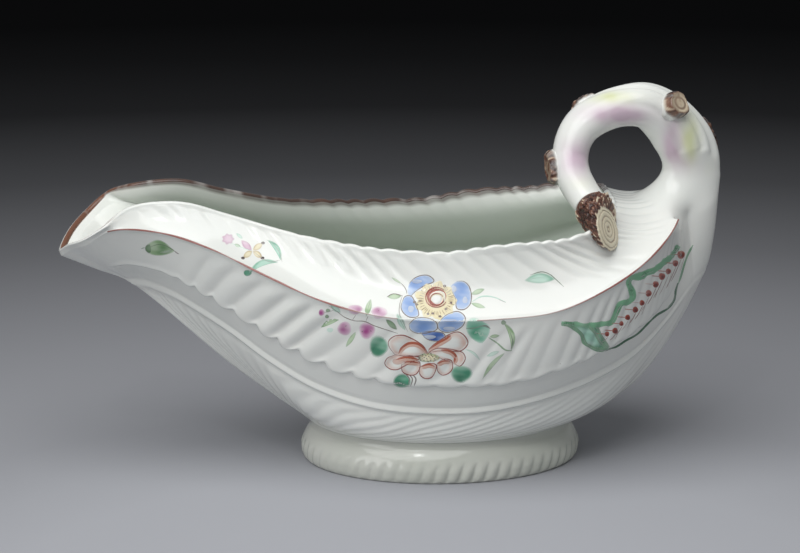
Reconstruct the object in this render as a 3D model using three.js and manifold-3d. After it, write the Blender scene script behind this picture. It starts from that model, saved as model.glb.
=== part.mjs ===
// A leaf-moulded porcelain sauceboat in millimetres, +Z up.
// The spout points to -X, the stalk handle rises at +X, and the near side faces -Y.
// The origin lies on the table, under the middle of the whole.
import * as THREE from "three";
import { mergeVertices } from "three/addons/utils/BufferGeometryUtils.js";
import Module from "manifold-3d";

const wasm = await Module();
wasm.setup();

// Clearance left where two luted pieces meet
const GAP = 0.3;

// Foot ring
const FOOT_HEIGHT = 12.6;
const FOOT_CENTRE_X = 13;
const SEAT_HALF_LENGTH = 42;
const SEAT_HALF_WIDTH = 32.3;
const FOOT_FLARE = 2.7;
const FOOT_TUCK = 0.5;
const FOOT_NECK_HEIGHT = 10.6;
const FOOT_ROLL_HEIGHT = 4.4;
const FOOT_RIM_WIDTH = 5;
const FOOT_WALL = 7.5;
const GADROONS = 34;
const GADROON_DEPTH = 0.45;
const GADROON_SLANT = 0.9;

// Hull from the spout's tip to the stern, over the ridges, and from its base to the rim's highest point.
// The drawing in STATIONS is stretched to these.
const HULL_LENGTH = 206.1;
const HULL_WIDTH = 99;
const HULL_HEIGHT = 74.9;
const BELLY_LENGTH = 55;

// Bowl walls, how near the middle the inside may come, as a share of the outside's distance from it, and
// how many walls it keeps off the ridge
const WALL = 3;
const TIP_WALL = 1.6;
const LIP = 2;
const FLOOR = 4;
const STERN_WALL = 6.5;
const MIDDLE_SHARE = 0.35;
const CORNER_WALLS = 1.2;

// Leaf relief
const RIM_WAVE = 0.5;
const BLADE_VEIN = 0.35;
const BOLD_VEIN = 0.6;
const FINE_VEIN = 0.2;
const LEAF_EDGE_STEP = 0.9;
const LEAF_EDGE_SCALLOP = 0.5;
const MIDRIB_BEAD = 0.35;
const LOWER_RIB_RISE = 0.8;

// Seat of the stalk: the inset of its middle from the stern, and its rise above the rim's end
const STALK_INSET = 5.9;
const STALK_RISE = 4.9;
const STALK_HALF_DEPTH = 9.4;
const STALK_HALF_WIDTH = 7.2;
const STALK_SPLIT = 70;
const STRAND_SWELL = 0.07;
const STRAND_TWIST = 130;

// Loop of the stalk, from the middle of its seat: forward, to the near side and up
const LOOP_REACH = 39.4;
const LOOP_SWING = 24;
const LOOP_RISE = 23.4;

// Branch end and lopped twigs
const BRANCH_END_RADIUS = 6.9;
const BARK_DEPTH = 0.5;
const RING_GROOVE = 0.35;
const RING_COUNT = 3;

// Mesh fineness, and the size of the slivers that are cleaned away after a cut
const SLIVER = 0.02;
const COLUMNS_PER_STATION = 4;
const RIBS_PER_STATION = 2;
const FOOT_COLUMNS_PER_GADROON = 3;

// The hull's lines, from the spout to the stern, for the near side. Each station gives, as
// [x, half width, height above the bowl's base], a point of the rim, of the ridge that is the upper
// leaf's midrib, and of the lower leaf's midrib, then the place on the foot's oval in degrees from the
// front, and three fullnesses: the hollow of the shoulder, the swell under the ridge, the belly.
// The last two stations have no ridge of their own: there it runs round the stalk's seat.
const STATIONS = [
  { rim: [-107.8, 0, 56.8], ridge: [-107.2, 0, 55.3], rib: [-86, 0, 46.2], foot: 0, full: [0, 0, 1.6] },
  { rim: [-105, 10.5, 60.6], ridge: [-103.7, 10, 59.4], rib: [-85, 1.2, 46.2], foot: 3, full: [0, 0.2, 1.6] },
  { rim: [-99.5, 20.5, 64.7], ridge: [-98.3, 19.7, 63.4], rib: [-83, 2.6, 46], foot: 5.5, full: [0.1, 0.6, 1.6] },
  { rim: [-93, 24.2, 69.3], ridge: [-91.4, 23.2, 68.2], rib: [-79.5, 4.6, 45], foot: 8.5, full: [0.3, 1, 1.6] },
  { rim: [-84, 17.3, 73.7], ridge: [-76, 22.3, 67], rib: [-73, 7.5, 42.9], foot: 12.5, full: [0.7, 1.5, 1.7] },
  { rim: [-71, 17.6, 74.9], ridge: [-61, 27.7, 63], rib: [-65, 11.2, 38.7], foot: 18, full: [1.1, 1.8, 1.9] },
  { rim: [-57, 19, 71.5], ridge: [-45, 34.4, 56.1], rib: [-55, 16.4, 32.9], foot: 25, full: [1.5, 2, 2.1] },
  { rim: [-42, 22.8, 67.3], ridge: [-28, 40.8, 49.2], rib: [-43, 22.8, 24.9], foot: 34, full: [1.8, 2, 2.6] },
  { rim: [-26, 29.4, 64.6], ridge: [-11, 46, 45.3], rib: [-29, 29.4, 17.7], foot: 45, full: [1.9, 2, 2.5] },
  { rim: [-9, 35.2, 62.6], ridge: [7, 48.8, 44.1], rib: [-12, 35.8, 13.1], foot: 58, full: [1.9, 2, 2] },
  { rim: [8, 38.7, 62.3], ridge: [26, 49.5, 44.3], rib: [6, 39.1, 11.6], foot: 72, full: [1.9, 2, 1.5] },
  { rim: [24, 39.8, 63.4], ridge: [44, 48, 45.9], rib: [24, 39.6, 12], foot: 87, full: [2, 2, 1.5] },
  { rim: [38, 39.6, 64.5], ridge: [60, 43.6, 51.5], rib: [42, 36.6, 14.7], foot: 103, full: [2.2, 2, 2] },
  { rim: [50, 38, 65.6], ridge: [73, 36.7, 58.2], rib: [58, 30.5, 18.7], foot: 118, full: [2.6, 2, 3] },
  { rim: [60, 32.5, 67.4], ridge: [82, 28.8, 65.3], rib: [72, 22.5, 24.5], foot: 134, full: [3.1, 1.8, 4.5] },
  { rim: [65.5, 22, 69.9], ridge: [87, 18.9, 71.2], rib: [83, 15, 33], foot: 150, full: [3.5, 1.5, 6] },
  { rim: [67, 10, 71.7], ridge: null, rib: [92.5, 8, 42.5], foot: 165, full: [3.6, 1.2, 7.5] },
  { rim: [67, 0, 72.1], ridge: null, rib: [98.3, 0, 46], foot: 180, full: [3.6, 1, 8] },
];

// The stalk's centre line, measured from the middle of its seat and stretched to the loop's sizes, with
// its thickness in the loop's plane and across it as shares of the seat's
const STALK_PATH = [
  { at: [-0.3, 0, 6], share: [0.99, 1] },
  { at: [-2.4, -0.3, 12], share: [0.95, 1] },
  { at: [-8.1, -1, 19.2], share: [0.86, 0.97] },
  { at: [-14.9, -2, 23.4], share: [0.77, 0.94] },
  { at: [-23, -2.8, 23.4], share: [0.68, 0.92] },
  { at: [-29.8, -3.5, 21.2], share: [0.66, 0.9] },
  { at: [-34.9, -4.5, 18], share: [0.66, 0.89] },
  { at: [-38, -5.6, 13.4], share: [0.66, 0.89] },
  { at: [-39.4, -8, 7.6], share: [0.66, 0.88] },
  { at: [-39, -12.4, 3.4], share: [0.64, 0.85] },
  { at: [-37.3, -18, -0.1], share: [0.6, 0.81] },
  { at: [-34.9, -24, -3.4], share: [0.54, 0.72] },
];

// The branch end's sawn face: the share of the rim's length where it lies, its middle from there, its normal
const BRANCH_FACE = { along: 0.8235, middle: [1.2, -2.1, 0.8], normal: [0.8, -0.5, 0.33] };

// Each twig grows out of the stalk at a share of its length, at an angle about it from the outside of
// the loop towards the viewer, with its radii along and across the stalk and its height.
const TWIGS = [
  { name: "twig_top", along: 0.27, angle: 42, radii: [4.1, 3.7], rise: 3.1 },
  { name: "twig_back", along: 0.125, angle: -30, radii: [6, 3.6], rise: 1.7 },
  { name: "twig_front", along: 0.79, angle: 24, radii: [5.4, 3.1], rise: 1.6 },
  { name: "twig_crown", along: 0.52, angle: -58, radii: [4.4, 3.2], rise: 1.6 },
];

const LAST = STATIONS.length - 1;
const drawnPoints = STATIONS.flatMap(({ rim, ridge, rib }) => [rim, ridge ?? rim, rib]);
const mostOf = (points, axis) => Math.max(...points.map((point) => point[axis]));
const leastOf = (points, axis) => Math.min(...points.map((point) => point[axis]));
const hullStretch = new THREE.Vector3(
  HULL_LENGTH / (mostOf(drawnPoints, 0) - leastOf(drawnPoints, 0)),
  HULL_WIDTH / 2 / mostOf(drawnPoints, 1),
  HULL_HEIGHT / mostOf(drawnPoints, 2),
);
const loopPoints = STALK_PATH.map(({ at }) => at);
const loopStretch = new THREE.Vector3(
  -LOOP_REACH / leastOf(loopPoints, 0),
  -LOOP_SWING / leastOf(loopPoints, 1),
  LOOP_RISE / mostOf(loopPoints, 2),
);
const SPLIT_STATION = LAST - 1;
const SPLIT = SPLIT_STATION / LAST;
const COLUMNS = LAST * COLUMNS_PER_STATION;
const BOWL_BASE = FOOT_HEIGHT + GAP;

const glaze = new THREE.MeshStandardMaterial({ color: 0xe9ece6, roughness: 0.18, metalness: 0 });
const footGlaze = new THREE.MeshStandardMaterial({ color: 0xe2e5dd, roughness: 0.16, metalness: 0 });
const stalkGlaze = new THREE.MeshStandardMaterial({ color: 0xe8e6e4, roughness: 0.2, metalness: 0 });
const bark = new THREE.MeshStandardMaterial({ color: 0x6b3526, roughness: 0.32, metalness: 0 });

const radians = THREE.MathUtils.degToRad;
const smooth = (low, high, x) => THREE.MathUtils.smoothstep(x, low, high);
const mix = (a, b, t) => a.clone().lerp(b, t);

// A closed skin put together from quads. Corners at one place become one vertex.
class Skin {
  corners = [];

  triangle(a, b, c) {
    const least = 1e-5;
    if (a.distanceTo(b) < least || b.distanceTo(c) < least || c.distanceTo(a) < least) return;
    this.corners.push(a, b, c);
  }

  quad(a, b, c, d) {
    this.triangle(a, b, c);
    this.triangle(a, c, d);
  }

  // Quads between rows of points; each row has the same count, and closed rows join end to start.
  sheet(rows, closed) {
    for (let r = 0; r + 1 < rows.length; r++) {
      const count = rows[r].length;
      for (let k = 0; k < (closed ? count : count - 1); k++) {
        const next = (k + 1) % count;
        this.quad(rows[r][k], rows[r + 1][k], rows[r + 1][next], rows[r][next]);
      }
    }
  }

  fan(row, centre, flipped) {
    row.forEach((p, k) => {
      const next = row[(k + 1) % row.length];
      if (flipped) this.triangle(next, p, centre);
      else this.triangle(p, next, centre);
    });
  }

  geometry() {
    const raw = new THREE.BufferGeometry().setFromPoints(this.corners);
    return mergeVertices(raw, 1e-4);
  }
}

// A closed rod through rings that turn anticlockwise about its run, with a middle point at each end
function rodGeometry(rings, startMiddle, endMiddle) {
  const rows = rings.slice().reverse();
  const skin = new Skin();
  skin.sheet(rows, true);
  skin.fan(rows[0], endMiddle, false);
  skin.fan(rows.at(-1), startMiddle, true);
  return skin.geometry();
}

function solidOf(geometry) {
  const clean = new THREE.BufferGeometry();
  clean.setAttribute("position", geometry.getAttribute("position"));
  clean.setIndex(geometry.index);
  const merged = mergeVertices(clean, 1e-4);
  return new wasm.Manifold(
    new wasm.Mesh({
      numProp: 3,
      vertProperties: new Float32Array(merged.attributes.position.array),
      triVerts: new Uint32Array(merged.index.array),
    }),
  );
}

function geometryOf(solid) {
  const mesh = solid.getMesh();
  const geometry = new THREE.BufferGeometry();
  geometry.setAttribute("position", new THREE.BufferAttribute(mesh.vertProperties, 3));
  geometry.setIndex(new THREE.BufferAttribute(mesh.triVerts, 1));
  geometry.computeVertexNormals();
  return geometry;
}

// The body that is left of a piece once its neighbours, already grown by the gap, are taken out of it
function cutBy(geometry, ...neighbours) {
  let solid = solidOf(geometry);
  for (const other of neighbours) solid = solid.subtract(solidOf(other));
  const bodies = solid.decompose().sort((a, b) => b.volume() - a.volume());
  return geometryOf(bodies[0].simplify(SLIVER));
}

// Points of the bowl

const offset = ([x, half, z]) => new THREE.Vector3(x, -half, z).multiply(hullStretch);
const seatMiddle = new THREE.Vector3(
  offset(STATIONS[LAST].rib).x - STALK_INSET,
  0,
  offset(STATIONS[LAST].rim).z + STALK_RISE,
);

// The outline of the stalk's foot, from its front (0 degrees, towards the opening) to its back (180)
function stalkOutline(degrees, halfDepth, halfWidth, twist = 0) {
  const turn = radians(degrees);
  const swell = 1 + STRAND_SWELL * Math.cos(2 * (turn - radians(twist)));
  return new THREE.Vector2(-Math.cos(turn) * halfDepth * swell, -Math.sin(turn) * halfWidth * swell);
}

function seatPoint(degrees) {
  const p = stalkOutline(degrees, STALK_HALF_DEPTH, STALK_HALF_WIDTH);
  return new THREE.Vector3(p.x, p.y, 0).add(seatMiddle);
}

function footPoint(degrees) {
  const turn = radians(degrees);
  const x = FOOT_CENTRE_X - SEAT_HALF_LENGTH * Math.cos(turn);
  return new THREE.Vector3(x, -SEAT_HALF_WIDTH * Math.sin(turn), 0);
}

// A line of the hull through all stations. It runs on round the other side, so it crosses the middle square.
function hullLine(pointAt) {
  const near = STATIONS.map((station, i) => pointAt(station, i));
  const far = near
    .slice(1, LAST)
    .reverse()
    .map((p) => new THREE.Vector3(p.x, -p.y, p.z));
  const curve = new THREE.CatmullRomCurve3([...near, ...far], true, "centripetal");
  return (s) => curve.getPoint(s / 2);
}

const rimLine = hullLine((station) => offset(station.rim));
const ridgeLine = hullLine((station, i) => {
  if (i === SPLIT_STATION) return seatPoint(STALK_SPLIT);
  return i === LAST ? seatPoint(180) : offset(station.ridge);
});
const ribLine = hullLine((station) => offset(station.rib));
const footLine = hullLine((station) => footPoint(station.foot));
const fullness = hullLine((station) => new THREE.Vector3(...station.full).multiplyScalar(hullStretch.y));

// The ridge at s. Past the split it follows the stalk's outline, round the front or round the back.
function ridgePoint(s, end) {
  if (s < SPLIT) return ridgeLine(s);
  return seatPoint(THREE.MathUtils.mapLinear(s, SPLIT, 1, STALK_SPLIT, end));
}

// Where the upper leaf's scalloped edge lies, as a share of the way from the ridge down to the lower rib
const leafEdgeShare = (s) => THREE.MathUtils.lerp(0.5, 0.68, smooth(0, 0.5, s));

// The smooth hull between the rim (v = 0) and the ridge (v = 1), hollow like a leaf held up to the light
function bladePoint(s, v) {
  const rim = rimLine(s);
  const ridge = ridgePoint(s, 0);
  const chord = ridge.clone().sub(rim);
  const along = ridgePoint(Math.min(s + 0.01, 1), 0).sub(ridgePoint(Math.max(s - 0.01, 0), 0));
  along.add(rimLine(s + 0.005)).sub(rimLine(s - 0.005));
  const outward = chord.clone().cross(along).normalize();
  const middle = mix(rim, ridge, 0.5).addScaledVector(outward, -fullness(s).x);
  return new THREE.QuadraticBezierCurve3(
    rim,
    middle.multiplyScalar(2).addScaledVector(rim, -0.5).addScaledVector(ridge, -0.5),
    ridge,
  ).getPoint(v);
}

// The smooth hull between the ridge (v = 0) and the foot (v = 1), by way of the leaf edge (0.25),
// the lower rib (0.5) and the belly (0.75)
function bellyPoint(s, v) {
  const ridge = ridgePoint(s, 180);
  const rib = ribLine(s);
  const foot = footLine(s);
  const full = fullness(s);
  const along = ribLine(s + 0.01).sub(ribLine(s - 0.01));
  const edge = mix(ridge, rib, leafEdgeShare(s));
  edge.addScaledVector(rib.clone().sub(ridge).cross(along).normalize(), full.y);
  const belly = mix(rib, foot, 0.6);
  belly.addScaledVector(foot.clone().sub(rib).cross(along).normalize(), full.z);
  return new THREE.CatmullRomCurve3([ridge, edge, rib, belly, foot], false, "centripetal").getPoint(v);
}

// The outward normal of one of the two patches
function normalOf(patch, s, v) {
  const step = 0.004;
  const s0 = Math.max(s - step, 0);
  const s1 = Math.min(s + step, 1);
  const v0 = Math.max(v - step, 0);
  const v1 = Math.min(v + step, 1);
  const along = patch(s1, v).sub(patch(s0, v));
  const down = patch(s, v1).sub(patch(s, v0));
  const normal = down.cross(along).normalize();
  if (s <= 0 || s >= 1) normal.setY(0).normalize();
  return normal;
}

// How strong the veins are along the hull: none at the spout's tip and on the stern
const veinStrength = (s) => smooth(0.04, 0.3, s) * (1 - smooth(0.88, 0.97, s));
const rimStrength = (s) => smooth(0.3, 0.48, s) * (1 - smooth(0.9, 0.98, s));

// Rows of the outer skin: a patch, a place down the hull, and the relief there.
// vein is the height of the ribs, rise is added all along, scallop moves the row up and down the hull.
function outerRows() {
  const rows = [];
  const blade = [0.15, 0.35, 0.58, 0.82];
  for (const v of blade) rows.push({ patch: bladePoint, v, vein: BLADE_VEIN * (1.3 - v), rise: 0 });
  for (const v of [0.03, 0.075, 0.12, 0.165, 0.205]) {
    rows.push({ patch: bellyPoint, v, vein: BOLD_VEIN * smooth(0, 0.07, v), rise: 0 });
  }
  rows.push({ patch: bellyPoint, v: 0.238, vein: BOLD_VEIN / 2, rise: 0, scallop: 1 });
  rows.push({ patch: bellyPoint, v: 0.256, vein: 0, rise: -LEAF_EDGE_STEP, scallop: 1 });
  for (const v of [0.33, 0.42]) rows.push({ patch: bellyPoint, v, vein: FINE_VEIN, rise: -LEAF_EDGE_STEP });
  rows.push({ patch: bellyPoint, v: 0.48, vein: 0, rise: -LEAF_EDGE_STEP });
  rows.push({ patch: bellyPoint, v: 0.5, vein: 0, rise: LOWER_RIB_RISE - LEAF_EDGE_STEP });
  rows.push({ patch: bellyPoint, v: 0.52, vein: 0, rise: -LEAF_EDGE_STEP });
  for (const v of [0.6, 0.68, 0.76, 0.84, 0.92]) {
    rows.push({ patch: bellyPoint, v, vein: FINE_VEIN, rise: -LEAF_EDGE_STEP * (1 - v) * 2 });
  }
  rows.push({ patch: bellyPoint, v: 1, vein: 0, rise: 0 });
  return rows;
}

// The crest of a rib is +1 and the valley beside it -1. A grown bowl has crests all along.
const ripple = (s, grow) => (grow > 0 ? 1 : Math.cos(2 * Math.PI * RIBS_PER_STATION * LAST * s));

function outerPoint(row, s, grow) {
  const scallop = (row.scallop ?? 0) * LEAF_EDGE_SCALLOP * ripple(s, grow) * veinStrength(s);
  const point = row.patch(s, row.v + scallop / BELLY_LENGTH);
  if (row.v === 1) return point;
  const relief = row.vein * ripple(s, grow) * veinStrength(s) + row.rise * smooth(0, 0.06, s);
  return point.addScaledVector(normalOf(row.patch, s, row.v), relief + grow);
}

// The ridge itself, a fine bead that dies away before the stalk's seat
function ridgeBead(s, end, grow) {
  const point = ridgePoint(s, end);
  if (s >= SPLIT) return point.setZ(point.z + grow);
  const normal = normalOf(bladePoint, s, 1).add(normalOf(bellyPoint, s, 0)).normalize();
  const rise = MIDRIB_BEAD * smooth(0.12, 0.2, s) * (1 - smooth(SPLIT - 0.08, SPLIT, s));
  return point.addScaledVector(normal, rise + grow);
}

// The rim's level direction away from the opening
function rimOutward(s) {
  const along = rimLine(s + 0.004).sub(rimLine(s - 0.004));
  return new THREE.Vector3(along.y, -along.x, 0).normalize();
}

// A point of the inside, kept on its own side of the middle
const onOwnSide = (inside, outside) => inside.setY(Math.min(inside.y, outside.y * MIDDLE_SHARE));

function lipPoints(s, grow) {
  const outward = rimOutward(s);
  const wave = RIM_WAVE * ripple(s, grow) * rimStrength(s);
  const edge = rimLine(s).addScaledVector(outward, wave * 0.6);
  edge.z += wave + grow;
  const outer = edge.clone().addScaledVector(outward, grow);
  const crown = edge.clone().addScaledVector(outward, -LIP / 2);
  crown.setY(Math.min(crown.y, edge.y / 2)).z += LIP / 4;
  const inner = onOwnSide(edge.clone().addScaledVector(outward, -LIP - grow), edge);
  inner.z -= LIP / 8;
  return [outer, crown, inner];
}

// The inside below the lip's inner point. It follows the outside at the wall's thickness and stays clear of
// the corner under the ridge. Along the spout, where the blade is too narrow for that, it runs straight
// down from the lip. Under the stalk's seat the stern is thicker.
function innerPoints(s, lip) {
  const wall = THREE.MathUtils.lerp(TIP_WALL, WALL, smooth(0, 0.14, s));
  const stern = smooth(0.7, 0.95, s);
  const thick = THREE.MathUtils.lerp(wall, STERN_WALL, stern);
  const under = (patch, v, depth) => {
    const outside = patch(s, v);
    return onOwnSide(outside.clone().addScaledVector(normalOf(patch, s, v), -depth), outside);
  };
  const spout = 1 - smooth(0.25, 0.45, s);
  const first = 0.02 + 0.1 * stern + 0.03 * spout;
  const belly = [first, 0.12 + 0.06 * stern, 0.25, 0.45, 0.65, 0.83].map((v) => under(bellyPoint, v, thick));
  const bladeWidth = ridgePoint(s, 0).distanceTo(rimLine(s));
  const corner = THREE.MathUtils.clamp(1 - (CORNER_WALLS * wall) / bladeWidth, 0, 0.7);
  const blade = [0.43, 1].map((share) => {
    const straight = mix(lip, belly[0], share * 0.7);
    return mix(straight, under(bladePoint, share * corner, wall), smooth(0, 0.5, corner));
  });
  const floor = mix(footLine(s), new THREE.Vector3(FOOT_CENTRE_X, 0, 0), 0.14).setZ(FLOOR);
  return [...blade, ...belly, floor];
}

// The whole bowl as one closed skin. Where grow is given it makes the body that neighbours are cut by:
// thicker all over, and filled in to just under its lip.
function bowlGeometry(grow = 0) {
  const rows = outerRows();
  const bladeRows = rows.filter((row) => row.patch === bladePoint).length;
  const columns = [];
  for (let k = 0; k < 2 * COLUMNS; k++) {
    const j = k <= COLUMNS ? k : 2 * COLUMNS - k;
    const s = j / COLUMNS;
    const outside = rows.map((row) => outerPoint(row, s, grow));
    const lip = lipPoints(s, grow);
    const column = {
      inside: [...lip.slice(1), ...(grow > 0 ? [] : innerPoints(s, lip.at(-1)))],
      blade: [lip[0], ...outside.slice(0, bladeRows), ridgeBead(s, 0, grow)],
      belly: [ridgeBead(s, 180, grow), ...outside.slice(bladeRows)],
    };
    if (k > COLUMNS) {
      for (const p of Object.values(column).flat()) p.y = -p.y;
    }
    columns.push(column);
  }
  const rowsOf = (part) => columns[0][part].map((_, i) => columns.map((column) => column[part][i]));
  const inside = rowsOf("inside").reverse();
  const blade = rowsOf("blade");
  const belly = rowsOf("belly");
  const skin = new Skin();
  skin.sheet([...inside, ...blade], true);
  skin.sheet(belly, true);
  const split = SPLIT_STATION * COLUMNS_PER_STATION;
  for (let k = split; k < 2 * COLUMNS - split; k++) {
    skin.quad(blade.at(-1)[k], belly[0][k], belly[0][k + 1], blade.at(-1)[k + 1]);
  }
  const lowest = Math.min(...inside[0].map((p) => p.z));
  skin.fan(inside[0], new THREE.Vector3(FOOT_CENTRE_X, 0, lowest), false);
  skin.fan(belly.at(-1), new THREE.Vector3(FOOT_CENTRE_X, 0, 0), true);
  return skin.geometry();
}

// Foot ring

// Places round an oval at equal steps of its length
function ovalAngles(count, halfLength, halfWidth) {
  const fine = 2000;
  const lengths = [0];
  let last = new THREE.Vector2(halfLength, 0);
  for (let i = 1; i <= fine; i++) {
    const turn = (2 * Math.PI * i) / fine;
    const next = new THREE.Vector2(halfLength * Math.cos(turn), halfWidth * Math.sin(turn));
    lengths.push(lengths[i - 1] + next.distanceTo(last));
    last = next;
  }
  const angles = [];
  for (let k = 0, i = 0; k < count; k++) {
    while (lengths[i + 1] < (lengths[fine] * k) / count) i++;
    const part = ((lengths[fine] * k) / count - lengths[i]) / (lengths[i + 1] - lengths[i]);
    angles.push((2 * Math.PI * (i + part)) / fine);
  }
  return angles;
}

// The foot's section as [outset from the seat's oval, height]: neck, roll, flat rim, inner wall
function footSection() {
  const roll = FOOT_FLARE;
  const bottom = FOOT_FLARE - 2 * FOOT_TUCK - 1;
  const points = [[0, FOOT_HEIGHT], [-0.35, FOOT_NECK_HEIGHT + 0.6]];
  const steps = 4;
  for (let i = 0; i <= steps; i++) {
    const t = i / steps;
    const height = THREE.MathUtils.lerp(FOOT_NECK_HEIGHT - 0.6, FOOT_ROLL_HEIGHT, t);
    points.push([roll * Math.sin((t * Math.PI) / 2) ** 1.4, height]);
  }
  points.push([roll - FOOT_TUCK / 2, FOOT_ROLL_HEIGHT / 2]);
  points.push([roll - FOOT_TUCK * 2, FOOT_ROLL_HEIGHT / 6]);
  points.push([bottom, 0]);
  points.push([bottom - FOOT_RIM_WIDTH, 0]);
  points.push([-FOOT_WALL, FOOT_HEIGHT]);
  return points;
}

function footGeometry() {
  const section = footSection();
  const count = GADROONS * FOOT_COLUMNS_PER_GADROON;
  const angles = ovalAngles(count, SEAT_HALF_LENGTH, SEAT_HALF_WIDTH);
  const top = FOOT_NECK_HEIGHT - 2;
  const rows = section.map(([outset, height]) =>
    angles.map((turn, k) => {
      const onBand = height > 0 && height < top && outset > 0;
      const bump = onBand ? Math.sin((Math.PI * height) / top) : 0;
      const phase = (2 * Math.PI * k) / FOOT_COLUMNS_PER_GADROON;
      const lobe = GADROON_DEPTH * bump * Math.cos(phase + GADROON_SLANT * height);
      const x = (SEAT_HALF_LENGTH + outset + lobe) * Math.cos(turn);
      const y = (SEAT_HALF_WIDTH + outset + lobe) * Math.sin(turn);
      return new THREE.Vector3(x, y, height);
    }),
  );
  const skin = new Skin();
  skin.sheet([...rows, rows[0]], true);
  return skin.geometry();
}

// Stalk

const stalkCurve = new THREE.CatmullRomCurve3(
  [
    seatMiddle.clone().setZ(seatMiddle.z + GAP),
    ...loopPoints.map((at) => new THREE.Vector3(...at).multiply(loopStretch).add(seatMiddle)),
  ],
  false,
  "centripetal",
);
const stalkHalves = new THREE.CatmullRomCurve3(
  [[1, 1], ...STALK_PATH.map(({ share }) => share)].map(
    ([depth, width]) => new THREE.Vector3(STALK_HALF_DEPTH * depth, STALK_HALF_WIDTH * width, 0),
  ),
  false,
  "centripetal",
);

// Two directions square to a run: out of the loop, and to the side that faces the viewer
function frameOf(along) {
  const viewer = new THREE.Vector3(0, -1, 0);
  const outward = viewer.clone().cross(along).negate().normalize();
  const side = along.clone().cross(outward).negate().normalize();
  return { outward, side };
}

// The frame of the stalk at t, with its middle, its direction and its half thicknesses
function stalkFrame(t) {
  const middle = stalkCurve.getPoint(t);
  const along = t <= 0 ? new THREE.Vector3(0, 0, 1) : stalkCurve.getTangent(t);
  return { middle, along, ...frameOf(along), half: stalkHalves.getPoint(t) };
}

function stalkRing(t, angles, grow = 0) {
  const { middle, outward, side, half } = stalkFrame(t);
  return angles.map((degrees) => {
    const p = stalkOutline(degrees, half.x + grow, half.y + grow, STRAND_TWIST * t);
    return middle.clone().addScaledVector(outward, p.x).addScaledVector(side, -p.y);
  });
}

// The angles at which the seat's outline was laid out, so that stalk and stern meet corner to corner
function seatAngles() {
  const angles = [];
  const n = COLUMNS_PER_STATION;
  for (let i = n; i > 0; i--) angles.push(THREE.MathUtils.mapLinear(i, 0, n, STALK_SPLIT, 0));
  for (let i = 0; i < n; i++) angles.push(THREE.MathUtils.mapLinear(i, 0, n, STALK_SPLIT, 180));
  return [...angles, 180, ...angles.slice(1).reverse().map((a) => 360 - a)];
}

function stalkGeometry(grow = 0) {
  const rings = 38;
  const angles = seatAngles();
  const rows = Array.from({ length: rings + 1 }, (_, i) => stalkRing(i / rings, angles, grow));
  return rodGeometry(rows, stalkCurve.getPoint(0), stalkCurve.getPoint(1));
}

// Branch end: a sleeve of bark that swells and tilts out over the rim to a sawn face with growth rings

function branchGeometry() {
  const sides = 16;
  const { middle, along, outward, side, half } = stalkFrame(1);
  const start = middle.clone().addScaledVector(along, GAP);
  const face = rimLine(BRANCH_FACE.along).add(new THREE.Vector3(...BRANCH_FACE.middle));
  const faceNormal = new THREE.Vector3(...BRANCH_FACE.normal).normalize();
  const wholeTilt = new THREE.Quaternion().setFromUnitVectors(along, faceNormal);
  const levels = [0, 0.12, 0.36, 0.6, 0.84, 1];
  const rows = levels.map((t, r) => {
    const tilt = new THREE.Quaternion().slerp(wholeTilt, t);
    const radius = THREE.MathUtils.lerp(half.y, BRANCH_END_RADIUS, smooth(-0.3, 0.7, t));
    const rough = r > 0 && r < levels.length - 1 ? BARK_DEPTH : 0;
    return Array.from({ length: sides }, (_, k) => {
      const turn = (2 * Math.PI * k) / sides;
      const reach = radius + rough * Math.cos(5 * turn + 2 * r);
      const across = outward.clone().multiplyScalar(-Math.cos(turn)).addScaledVector(side, Math.sin(turn));
      return mix(start, face, t).addScaledVector(across.applyQuaternion(tilt), reach);
    });
  });
  const rim = rows.at(-1);
  const rings = RING_COUNT * 2;
  for (let i = 1; i <= rings; i++) {
    const sunk = i % 2 ? RING_GROOVE : 0;
    rows.push(rim.map((p) => mix(face, p, 1 - i / (rings + 1)).addScaledVector(faceNormal, -sunk)));
  }
  return rodGeometry(rows, start, face);
}

// Lopped twigs

function twigGeometry({ along, angle, radii, rise }) {
  const frame = stalkFrame(along);
  const turn = radians(angle);
  const out = frame.outward
    .clone()
    .multiplyScalar(Math.cos(turn))
    .addScaledVector(frame.side, Math.sin(turn))
    .normalize();
  const across = out.clone().cross(frame.along).normalize();
  const reach = 1 / Math.hypot(Math.cos(turn) / frame.half.x, Math.sin(turn) / frame.half.y);
  const sides = 14;
  const ring = (share, height) =>
    Array.from({ length: sides }, (_, k) => {
      const a = (2 * Math.PI * k) / sides;
      return frame.middle
        .clone()
        .addScaledVector(out, height)
        .addScaledVector(frame.along, Math.cos(a) * radii[0] * share)
        .addScaledVector(across, Math.sin(a) * radii[1] * share);
    });
  const top = reach + rise;
  const rows = [
    ring(1.12, reach / 2),
    ring(1.08, reach + rise * 0.2),
    ring(0.96, reach + rise * 0.75),
    ring(0.86, top),
    ring(0.62, top - RING_GROOVE / 2),
    ring(0.45, top),
    ring(0.2, top - RING_GROOVE),
  ];
  const middleAt = (height) => frame.middle.clone().addScaledVector(out, height);
  return rodGeometry(rows, middleAt(reach / 2), middleAt(top - RING_GROOVE));
}

function add(group, name, geometry, material) {
  const mesh = new THREE.Mesh(geometry, material);
  mesh.name = name;
  geometry.computeVertexNormals();
  group.add(mesh);
}

const sauceboat = new THREE.Group();
const foot = new THREE.Group();
foot.position.x = FOOT_CENTRE_X;
add(foot, "foot_ring", footGeometry(), footGlaze);
sauceboat.add(foot);

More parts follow.
